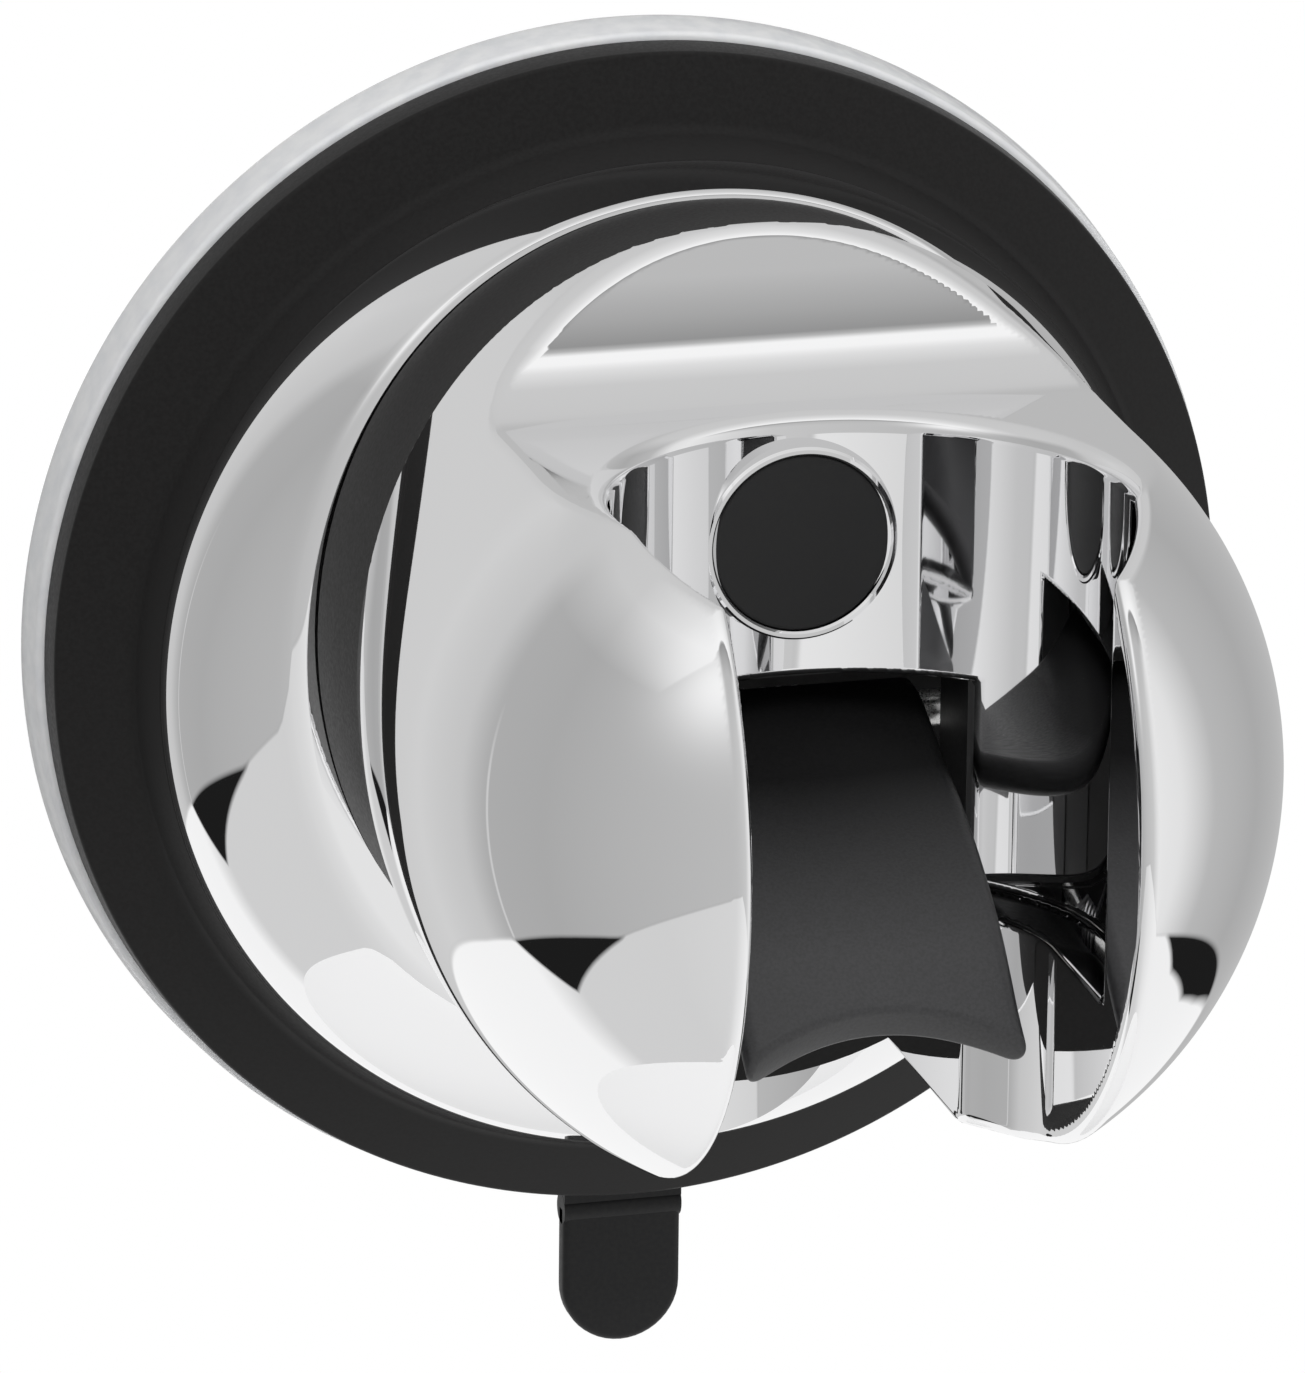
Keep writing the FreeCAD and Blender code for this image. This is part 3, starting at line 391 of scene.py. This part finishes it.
# ------------------------------------------------------------------ hidden mechanism
# Turned and stamped pieces inside the base: a steel draw bar and pins, a natural plastic cam
# and washers, a dark plastic core and frame, and the coned spring.
steel, steel_shader = surface("turned_steel", (0.62, 0.62, 0.61), 0.28, 1.0)
grain(steel, steel_shader, 0.15, 0.002, 0.06)
spring_wire, spring_shader = surface("drawn_steel", (0.5, 0.5, 0.51), 0.34, 1.0)
grain(spring_wire, spring_shader, 0.1, 0.003, 0.05)
natural, natural_shader = surface("natural_plastic", (0.82, 0.81, 0.77), 0.4)
grain(natural, natural_shader, 0.5, 0.003, 0.04, [(0.78, 0.77, 0.73), (0.85, 0.84, 0.8)])
filled, filled_shader = surface("glass_filled_plastic", (0.05, 0.053, 0.056), 0.55)
grain(filled, filled_shader, 0.4, 0.006, 0.05, [(0.04, 0.042, 0.045), (0.065, 0.068, 0.07)])
turned_brass, brass_shader = surface("turned_brass", (0.72, 0.5, 0.2), 0.25, 1.0)
grain(turned_brass, brass_shader, 0.2, 0.002, 0.05)
dress(steel, "stop_pin", "draw_bar", "cross_pin", "frame_screws", "main_screw", "screw_washer", "tongue_pin",
      "pin_clips")
dress(spring_wire, "return_spring", "tongue_spring")
dress(natural, "rim_seal", "thrust_washer", "cam_ring")
dress(filled, "pad_core", "turret_frame")
dress(turned_brass, "insert_nut")

# ------------------------------------------------------------------ chrome dome
# A round-based shell of chromed plastic that narrows to an egg-shaped front. A scoop in its
# underside leaves room for the hose.
dome_seam_depth = 12.2       # its sides are drawn from here and it is cut off a little above
dome_back = 12.3
dome_front = 22.0
dome_seam = (36.05, 0.0)
dome_upper = (28.5, 8.1)
dome_lower = (28.9, 2.0)
dome_swell = 1.7
dome_edge = 0.8


def between(start, finish, share):
    """Goes from a start to a finish, number by number."""
    return tuple(a + (b - a) * share for a, b in zip(start, finish))


def egg_point(angle, upper, lower, inset=0.0):
    """A point of an outline that is one arc above and another below."""
    rise = math.sin(angle)
    share = 0.5 + 0.5 * rise * (1.5 - 0.5 * rise * rise)
    radius, height = between(lower, upper, share)
    return (radius - inset) * math.cos(angle), height + (radius - inset) * rise


def egg_tube(sections, segments=360):
    """Rings of one outline after another, pulled out of each other, and a face on each end."""
    bm = bmesh.new()
    first = bmesh.ops.create_circle(bm, cap_ends=False, segments=segments, radius=1)["verts"]
    ring = sorted(first, key=lambda v: math.atan2(v.co.y, v.co.x) % (2 * math.pi))
    loop = [bm.edges.get((ring[i], ring[(i + 1) % segments])) for i in range(segments)]
    start_loop = loop
    for number, (depth, upper, lower, inset) in enumerate(sections):
        if number:
            grown = bmesh.ops.extrude_edge_only(bm, edges=loop)["geom"]
            loop = [g for g in grown if isinstance(g, bmesh.types.BMEdge)]
            new = {v for g in loop for v in g.verts}
            pairs = {}
            for edge in bm.edges:
                one, two = edge.verts
                if (one in new) != (two in new):
                    pairs[two if one in new else one] = one if one in new else two
            ring = [pairs[v] for v in ring]
            loop = [bm.edges.get((ring[i], ring[(i + 1) % segments])) for i in range(segments)]
        for i, vert in enumerate(ring):
            x, z = egg_point(2 * math.pi * i / segments, upper, lower, inset)
            vert.co = at(x, depth, z)
    for loop_edges in (start_loop, loop):
        bmesh.ops.holes_fill(bm, edges=loop_edges, sides=segments)
    return bm


edge_from = math.radians(18)
dome_rings = []
for i in range(33):
    depth = dome_back + i / 32 * (dome_front - dome_edge - dome_back)
    swell = ((depth - dome_seam_depth) / (dome_front - dome_seam_depth)) ** dome_swell
    dome_rings.append((depth, between(dome_seam, dome_upper, swell),
                       between(dome_seam, dome_lower, swell), 0.0))
for i in range(1, 9):
    angle = edge_from + (math.pi / 2 - edge_from) * i / 8
    inset = dome_edge * (math.cos(edge_from) - math.cos(angle))
    depth = dome_front - dome_edge * (1 - math.sin(angle))
    swell = ((depth - dome_seam_depth) / (dome_front - dome_seam_depth)) ** dome_swell
    dome_rings.append((depth, between(dome_seam, dome_upper, swell), between(dome_seam, dome_lower, swell),
                       inset))
dome_rings.append((dome_front, dome_upper, dome_lower, 5.0))
dome = new_piece("chrome_dome", egg_tube(dome_rings), "turret", "dome_shell")


def cutter(name, bm):
    """A hidden shape that is taken away from another piece and then deleted."""
    bmesh.ops.recalc_face_normals(bm, faces=bm.faces)
    mesh = bpy.data.meshes.new(name)
    bm.to_mesh(mesh)
    bm.free()
    tool = bpy.data.objects.new(name, mesh)
    scene.collection.objects.link(tool)
    return tool


def bake(piece):
    """Puts the result of a piece's modifiers on it in their place, and returns the new mesh."""
    bpy.context.view_layer.update()
    done = bpy.data.meshes.new_from_object(piece.evaluated_get(bpy.context.evaluated_depsgraph_get()))
    done.name = piece.data.name
    piece.modifiers.clear()
    old = piece.data
    piece.data = done
    bpy.data.meshes.remove(old)
    return done


def carve(piece, tools):
    """Takes each tool away from a piece and leaves the finished mesh on it."""
    for tool in tools:
        step = piece.modifiers.new(tool.name, "BOOLEAN")
        step.operation = "DIFFERENCE"
        step.solver = "EXACT"
        step.object = tool
    bake(piece)
    for tool in tools:
        bpy.data.objects.remove(tool)


def post(radius, low, high, depth, segments=256):
    """An upright round bar at a depth out from the wall."""
    bm = bmesh.new()
    bmesh.ops.create_cone(bm, cap_ends=True, segments=segments, radius1=radius * mm, radius2=radius * mm,
                          depth=(high - low) * mm)
    bmesh.ops.translate(bm, vec=at(0, depth, (low + high) / 2), verts=bm.verts)
    return bm


def brick(x0, x1, back, front, z0, z1):
    """A block with square edges, from its limits in mm."""
    bm = bmesh.new()
    bmesh.ops.create_cube(bm, size=1)
    bmesh.ops.scale(bm, vec=at(x1 - x0, back - front, z1 - z0), verts=bm.verts)
    bmesh.ops.translate(bm, vec=at((x0 + x1) / 2, (back + front) / 2, (z0 + z1) / 2), verts=bm.verts)
    return bm


scoop_radius = 11.25
scoop_depth = 25.45
scoop_top = -24.6
carve(dome, [cutter("scoop_tool", post(scoop_radius, -60, scoop_top, scoop_depth))])
bm = bmesh.new()
bm.from_mesh(dome.data)
for edge in bm.edges:
    edge.smooth = len(edge.link_faces) != 2 or edge.calc_face_angle() < math.radians(30)
for face in bm.faces:
    face.smooth = True
bm.to_mesh(dome.data)
bm.free()

chrome, chrome_shader = surface("bright_chrome", (0.93, 0.93, 0.935), 0.015, 1.0)
haze = chrome.node_tree.nodes.new("ShaderNodeTexNoise")
haze.inputs["Scale"].default_value = 60
haze.inputs["Detail"].default_value = 4
haze_place = chrome.node_tree.nodes.new("ShaderNodeTexCoord")
haze_range = chrome.node_tree.nodes.new("ShaderNodeMapRange")
haze_range.inputs["To Min"].default_value = 0.008
haze_range.inputs["To Max"].default_value = 0.03
chrome_links = chrome.node_tree.links
chrome_links.new(haze_place.outputs["Object"], haze.inputs["Vector"])
chrome_links.new(haze.outputs["Fac"], haze_range.inputs["Value"])
chrome_links.new(haze_range.outputs["Result"], chrome_shader.inputs["Roughness"])
dome.data.materials.clear()
dome.data.materials.append(chrome)

# ------------------------------------------------------------------ neck
# The black collar between dome and holder, moulded with a fine satin grain and sealed to the
# dome by a thin gasket.
dress(ring_skin, "neck_collar", "neck_gasket")

# ------------------------------------------------------------------ chrome holder
# One moulding of chromed plastic: a ball that grows out of an egg-shaped neck, cut off level
# on top and below, with an upright bore, a slot at the front and a window for the tongue.
neck_upper = (27.8, 10.1)
neck_lower = (26.9, 2.6)
neck_depth = 33.5
ball_radius = 29.7
ball_depth = 55.3
ball_height = 6.15
floor_height = -20.8
shelf_height = 27.6
roof_foot_depth = 40.6
roof_slope = math.radians(55.9)
roof_sweep = 55.0           # the roof is slightly hollow
roof_middle = 7.0           # from its foot, along the slope
roof_round = 2.6
bore_radius = 17.2
bore_depth = 62.7
ledge_height = -5.0         # the cone of the hose nut rests here
slot_half = 12.9            # and the radius of the passage below the ledge
window_half = 11.25
window_foot_half = 9.6
window_top = 9.3
mouth_round = 1.3
shelf_round = 0.42
roof_edge_more = 0.55       # the edges of the roof are rounder still
voxel = 0.42
refine_turns = 14
even_out_turns = (2, 4, 6, 8)

ball_rings = []
for i in range(12):
    share = i / 11
    left = (1 - share) ** 2
    ball = (ball_radius, ball_height)
    ball_rings.append((neck_depth + (ball_depth - neck_depth) * share, between(ball, neck_upper, left),
                       between(ball, neck_lower, left), 0.0))
for i in range(1, 16):
    angle = math.radians(75 * i / 15)
    ball = (ball_radius * math.cos(angle), ball_height)
    ball_rings.append((ball_depth + ball_radius * math.sin(angle), ball, ball, 0.0))
holder = new_piece("chrome_holder", egg_tube(ball_rings, 96), "turret", "holder_body")

roof = bmesh.new()
roof_line = [(roof_foot_depth - 30 / math.tan(roof_slope), shelf_height + 30),
             (roof_foot_depth, shelf_height),
             (100, shelf_height), (100, shelf_height + 30)]
roof.faces.new([roof.verts.new(at(-40, d, z)) for d, z in roof_line])
grown = bmesh.ops.extrude_face_region(roof, geom=roof.faces[:])["geom"]
bmesh.ops.translate(roof, vec=at(80, 0, 0), verts=[v for v in grown if isinstance(v, bmesh.types.BMVert)])
carve(holder, [cutter("roof_tool", roof), cutter("floor_tool", brick(-40, 40, 0, 120, -60, floor_height)),
               cutter("bore_tool", post(bore_radius, ledge_height, 60, bore_depth)),
               cutter("passage_tool", post(slot_half, -60, 60, bore_depth)),
               cutter("slot_tool", brick(-slot_half, slot_half, bore_depth, 120, -60, 60)),
               cutter("window_tool", brick(-window_half, window_half, 20, bore_depth,
                                           ledge_height, window_top)),
               cutter("window_foot_tool", brick(-window_foot_half, window_foot_half, 20, bore_depth,
                                                -60, 0))])


def round_outside(a, b, radius):
    """Where two shapes meet in an outer edge, the edge is rounded."""
    corner = np.hypot(np.maximum(radius + a, 0), np.maximum(radius + b, 0))
    return np.minimum(-radius, np.maximum(a, b)) + corner


def round_inside(a, b, radius):
    """Where two shapes meet in an inner corner, the corner is filled."""
    corner = np.hypot(np.maximum(radius - a, 0), np.maximum(radius - b, 0))
    return np.maximum(radius, np.minimum(a, b)) - corner


def holder_surface(p):
    """How far points, in mm, stand out from the finished moulding."""
    x, d, z = np.abs(p[:, 0]), -p[:, 1], p[:, 2]
    share = np.clip((d - neck_depth) / (ball_depth - neck_depth), 0, 1)
    left = (1 - share) ** 2
    level = np.full_like(x, ball_height)
    for _ in range(6):
        rise = (z - level) / np.maximum(np.hypot(x, z - level), 1e-6)
        mixed = 0.5 + 0.5 * rise * (1.5 - 0.5 * rise * rise)
        level = ball_height + (neck_lower[1] + (neck_upper[1] - neck_lower[1]) * mixed - ball_height) * left
        radius = ball_radius + (neck_lower[0] + (neck_upper[0] - neck_lower[0]) * mixed - ball_radius) * left
    tube = np.hypot(x, z - level) - radius
    ball = np.sqrt(x * x + (z - ball_height) ** 2 + (d - ball_depth) ** 2) - ball_radius
    skin = np.where(d < ball_depth, tube, ball)
    off_d = d - roof_foot_depth + roof_middle * math.cos(roof_slope) - roof_sweep * math.sin(roof_slope)
    off_z = z - shelf_height - roof_middle * math.sin(roof_slope) - roof_sweep * math.cos(roof_slope)
    slope = roof_sweep - np.hypot(off_d, off_z)
    top = round_inside(z - shelf_height, slope, roof_round)
    on_roof = np.clip((z - shelf_height - 1) / 2.5, 0, 1)
    solid = round_outside(skin, top, shelf_round + roof_edge_more * on_roof)
    solid = round_outside(solid, floor_height - z, 0.8)
    solid = round_outside(solid, neck_depth - d, 0.3)
    bore = np.hypot(x, d - bore_depth)
    upper_bore = round_outside(bore - bore_radius, ledge_height - z, 0.5)
    passage = np.minimum(bore - slot_half, np.maximum(x - slot_half, bore_depth - d))
    hollow = round_inside(upper_bore, passage, 0.35)
    solid = round_outside(solid, -hollow, mouth_round)
    window = np.maximum(x - window_half, np.maximum(z - window_top, ledge_height - z))
    foot = np.maximum(x - window_foot_half, z - ledge_height)
    return round_outside(solid, -np.minimum(window, foot), 0.45)


def slope_of(surface_function, p, step=0.02):
    """The direction in which a surface function grows."""
    rise = np.empty_like(p)
    for axis in range(3):
        shift = np.zeros(3)
        shift[axis] = step
        rise[:, axis] = (surface_function(p + shift) - surface_function(p - shift)) / (2 * step)
    return rise


def refine(piece, surface_function, size):
    """Remeshes a piece evenly, lays every point on its true surface and sets the true normals.

    A few rounds of evening out between the moves keep the triangles regular on rounded edges.
    """
    step = piece.modifiers.new("even_mesh", "REMESH")
    step.mode = "VOXEL"
    step.voxel_size = size * mm
    done = bake(piece)
    p = np.empty(len(done.vertices) * 3)
    done.vertices.foreach_get("co", p)
    p = p.reshape(-1, 3) / mm
    ends = np.empty(len(done.edges) * 2, dtype=int)
    done.edges.foreach_get("vertices", ends)
    first, second = ends[0::2], ends[1::2]
    neighbours = np.bincount(ends, minlength=len(p))[:, None]
    for turn in range(refine_turns):
        if turn in even_out_turns:
            pull = np.stack([np.bincount(first, p[second, i], len(p))
                             + np.bincount(second, p[first, i], len(p)) for i in range(3)], axis=1)
            p += 0.5 * (pull / neighbours - p)
        out_by = surface_function(p)
        rise = slope_of(surface_function, p)
        move = rise * (out_by / np.maximum((rise ** 2).sum(1), 0.2))[:, None]
        p -= np.clip(move, -size, size)
    done.vertices.foreach_set("co", (p * mm).ravel())
    normals = slope_of(surface_function, p, 0.05)
    normals /= np.linalg.norm(normals, axis=1)[:, None]
    for polygon in done.polygons:
        polygon.use_smooth = True
    done.normals_split_custom_set_from_vertices(normals.tolist())
    done.update()


refine(holder, holder_surface, voxel)
holder.data.materials.clear()
holder.data.materials.append(chrome)

# ------------------------------------------------------------------ screw plug
# A flat black button pressed into the wall of the bore over the main screw. Its face is
# plain, with a small rounded edge.
plug_height = 19.0
plug_radius = 6.13
plug_back = 44.3
plug_front = 46.6


def across(radius, start, finish, x, z, segments=192):
    """A round bar square to the wall, from one depth to another."""
    bm = bmesh.new()
    bmesh.ops.create_cone(bm, cap_ends=True, segments=segments, radius1=radius * mm, radius2=radius * mm,
                          depth=(finish - start) * mm)
    bmesh.ops.rotate(bm, cent=(0, 0, 0), matrix=Matrix.Rotation(math.pi / 2, 3, "X"), verts=bm.verts)
    bmesh.ops.translate(bm, vec=at(x, (start + finish) / 2, z), verts=bm.verts)
    return bm


bm = across(plug_radius, plug_back, plug_front, 0, plug_height)
rim = [e for e in bm.edges if all(abs(v.co.y + plug_front * mm) < 1e-7 for v in e.verts)]
bmesh.ops.bevel(bm, geom=rim, offset=0.3 * mm, segments=5, profile=0.5, affect="EDGES", material=-1)
caps = [f for f in bm.faces if len(f.verts) > 8]
bmesh.ops.inset_individual(bm, faces=caps, thickness=0.4 * mm)
plug = new_piece("black_plug", bm, "turret", "screw_plug")
plug_skin, plug_shader = surface("plug_plastic", (0.006, 0.006, 0.0065), 0.5)
grain(plug_skin, plug_shader, 0.3, 0.005, 0.04, [(0.005, 0.005, 0.0055), (0.008, 0.008, 0.008)])
plug.data.materials.append(plug_skin)

# ------------------------------------------------------------------ plug ring
# A thin lip of chromed plastic round the hole of the plug. It is raised by the holder's own
# moulding and has rounded edges.
lip_outline = [(6.16, 44.6), (6.16, 46.62), (6.3, 46.8), (6.55, 46.8), (6.72, 46.6), (6.72, 44.6)]
bm = turned(lip_outline, 192)
bmesh.ops.translate(bm, vec=at(0, 0, plug_height), verts=bm.verts)
plug_lip = new_piece("plug_lip", bm, "turret")
plug_lip.data.materials.append(chrome)

# ------------------------------------------------------------------ window shade plates
# Thin plates of black plastic on the sides and the roof of the window, put in as painted shade:
# they darken the inside of the window, where shade falls. How they are fixed is assumed: they
# stand as if let into the chromed moulding.
shade_plate_thick = 0.3


def shade_plate_bricks():
    """The painted-shade plates as (x0, x1, back, front, z0, z1), in mm."""
    for side in (-1, 1):
        wall = sorted((side * (window_half - shade_plate_thick), side * (window_half + 0.1)))
        foot = sorted((side * (window_foot_half + 0.05), side * (window_foot_half + 0.4)))
        yield (*wall, 43.0, 49.3, ledge_height + 0.1, window_top + 0.05)
        yield (*foot, 43.0, 53.9, floor_height + 1.0, ledge_height + 0.1)
    yield (-window_half, window_half, 43.0, 44.9, window_top - 0.15, window_top + 0.15)


# black plates as painted shade inside the window
bm = bmesh.new()
for x0, x1, back, front, z0, z1 in shade_plate_bricks():
    plate = bmesh.ops.create_cube(bm, size=1)
    bmesh.ops.scale(bm, vec=((x1 - x0) * mm, (front - back) * mm, (z1 - z0) * mm), verts=plate["verts"])
    bmesh.ops.translate(bm, vec=at((x0 + x1) / 2, (front + back) / 2, (z0 + z1) / 2), verts=plate["verts"])
shade_plates = new_piece("window_shade_plates", bm, "turret")
shade_plates.data.materials.append(plug_skin)

# ------------------------------------------------------------------ grip tongue
# A sprung blade with a soft black skin. It is slightly hollow at the top and arches over to a
# rounded lip that is curved back at the middle.
tongue_half = 9.6
tongue_thick = 2.3
# depth and height along the middle of the top face, and how far the sides drop below it
tongue_line = [(41.5, 7.3, 0.0), (44.0, 6.8, 0.0), (50.0, 3.6, -0.5), (54.0, 1.6, -0.8), (58.4, -0.6, -0.6),
               (62.7, -3.2, -0.2), (65.2, -5.5, -0.1), (67.2, -7.4, 0.1), (69.4, -9.2, 0.2),
               (71.4, -11.0, 0.2)]
tip_curve = 23.0            # radius of the hollow in the front edge, seen from above
tip_middle = 66.9           # depth of the front edge at its middle
tip_edge = 0.4              # rounding of the front face's edges
tip_lean = 0.4              # how far the face leans forward, per mm below the top
side_edge = 1.1


def along(points, steps):
    """A smooth run through points, a Catmull-Rom curve, with its ends kept."""
    points = [np.array(p, float) for p in points]
    padded_run = [2 * points[0] - points[1], *points, 2 * points[-1] - points[-2]]
    run = []
    for a, b, c, e in zip(padded_run, padded_run[1:], padded_run[2:], padded_run[3:]):
        for i in range(steps):
            t = i / steps
            run.append(0.5 * (2 * b + (c - a) * t + (2 * a - 5 * b + 4 * c - e) * t ** 2
                              + (3 * b - a - 3 * c + e) * t ** 3))
    return run + [points[-1]]


run = np.array(along(tongue_line, 24))
travel = np.concatenate([[0], np.cumsum(np.hypot(np.diff(run[:, 0]), np.diff(run[:, 1])))])
flat_steps = 48
arc_steps = 8
side = tongue_half - side_edge


def blade_outline():
    """Once round a cross-section: (sideways, height above the middle), in mm."""
    points = [(side - 2 * side * i / flat_steps, tongue_thick / 2) for i in range(flat_steps)]
    for turn in range(2 * arc_steps):
        angle = math.pi * turn / (2 * arc_steps)
        points.append((-side - side_edge * math.sin(angle), tongue_thick / 2 * math.cos(angle)))
    points += [(-side + 2 * side * i / flat_steps, -tongue_thick / 2) for i in range(flat_steps)]
    for turn in range(2 * arc_steps):
        angle = math.pi * turn / (2 * arc_steps)
        points.append((side + side_edge * math.sin(angle), -tongue_thick / 2 * math.cos(angle)))
    return points


def blade_spot(x, lift, share, past, inset):
    """A point of the blade: share runs along it, past lies beyond, inset draws the ring in."""
    reach = tip_middle + tip_curve - math.sqrt(tip_curve ** 2 - x * x) - tip_edge
    finish = np.interp(reach, run[:, 0], travel)
    way = finish * share + past
    ahead_of = [np.interp(way + 0.3, travel, run[:, i]) - np.interp(way - 0.3, travel, run[:, i])
                for i in range(2)]
    length = math.hypot(*ahead_of)
    half = tongue_thick / 2
    lift *= (half - inset) / half
    way += tip_lean * share ** 8 * (half - lift)
    depth, height, drop = (np.interp(way, travel, run[:, i]) for i in range(3))
    x *= (tongue_half - min(inset, tip_edge)) / tongue_half
    depth -= ahead_of[1] / length * (lift - half)
    height += ahead_of[0] / length * (lift - half) - drop * (x / tongue_half) ** 2
    return at(x, depth, height)


stations = [(i / 70, 0.0, 0.0) for i in range(71)]
stations += [(1.0, tip_edge * math.sin(a), tip_edge * (1 - math.cos(a)))
             for a in [math.pi / 2 * i / 5 for i in range(1, 6)]]
stations.append((1.0, tip_edge, tongue_thick / 2))
section = blade_outline()
around = len(section)
bm = bmesh.new()
ring_verts = [bm.verts.new((0, 0, 0)) for _ in section]
loop = [bm.edges.new((ring_verts[i], ring_verts[(i + 1) % around])) for i in range(around)]
root_loop = loop
for number, station in enumerate(stations):
    if number:
        grown = bmesh.ops.extrude_edge_only(bm, edges=loop)["geom"]
        new = {v for g in grown if isinstance(g, bmesh.types.BMEdge) for v in g.verts}
        ring_verts = [next(e.other_vert(v) for e in v.link_edges if e.other_vert(v) in new)
                      for v in ring_verts]
    loop = [bm.edges.get((ring_verts[i], ring_verts[(i + 1) % around])) for i in range(around)]
    for vert, (x, lift) in zip(ring_verts, section):
        vert.co = blade_spot(x, lift, *station)
bmesh.ops.holes_fill(bm, edges=root_loop, sides=around)
bmesh.ops.remove_doubles(bm, verts=bm.verts, dist=2e-6)
tongue = new_piece("grip_blade", bm, "tongue", "grip_tongue")
tongue_skin, tongue_shader = surface("soft_touch_black", (0.018, 0.018, 0.0185), 0.42)
tongue_shader.inputs["Specular IOR Level"].default_value = 0.5
grain(tongue_skin, tongue_shader, 0.22, 0.02, 0.08, [(0.026, 0.026, 0.027), (0.040, 0.040, 0.042)])
skin_tree = tongue_skin.node_tree
skin_place = skin_tree.nodes.new("ShaderNodeTexCoord")
skin_split = skin_tree.nodes.new("ShaderNodeSeparateXYZ")
shade = skin_tree.nodes.new("ShaderNodeMapRange")     # painted shade: darker at the root, where the window shades it
shade.inputs["From Min"].default_value = -0.050
shade.inputs["From Max"].default_value = -0.064
shade.inputs["To Min"].default_value = 0.12
shade.inputs["To Max"].default_value = 1.0
painted_shade_mix = skin_tree.nodes.new("ShaderNodeMix")
painted_shade_mix.data_type = "RGBA"
painted_shade_mix.inputs["A"].default_value = (0.002, 0.002, 0.002, 1)
# the same painted shade also dims the sheen towards the root
painted_shade_sheen = skin_tree.nodes.new("ShaderNodeMath")
painted_shade_sheen.operation = "MULTIPLY"
painted_shade_sheen.inputs[1].default_value = 0.6
skin_colour = tongue_shader.inputs["Base Color"].links[0].from_socket
skin_tree.links.new(skin_place.outputs["Object"], skin_split.inputs[0])
skin_tree.links.new(skin_split.outputs["Y"], shade.inputs["Value"])
skin_tree.links.new(shade.outputs["Result"], painted_shade_mix.inputs["Factor"])
skin_tree.links.new(skin_colour, painted_shade_mix.inputs["B"])
skin_tree.links.new(painted_shade_mix.outputs["Result"], tongue_shader.inputs["Base Color"])
skin_tree.links.new(shade.outputs["Result"], painted_shade_sheen.inputs[0])
skin_tree.links.new(painted_shade_sheen.outputs[0], tongue_shader.inputs["Specular IOR Level"])
tongue.data.materials.append(tongue_skin)
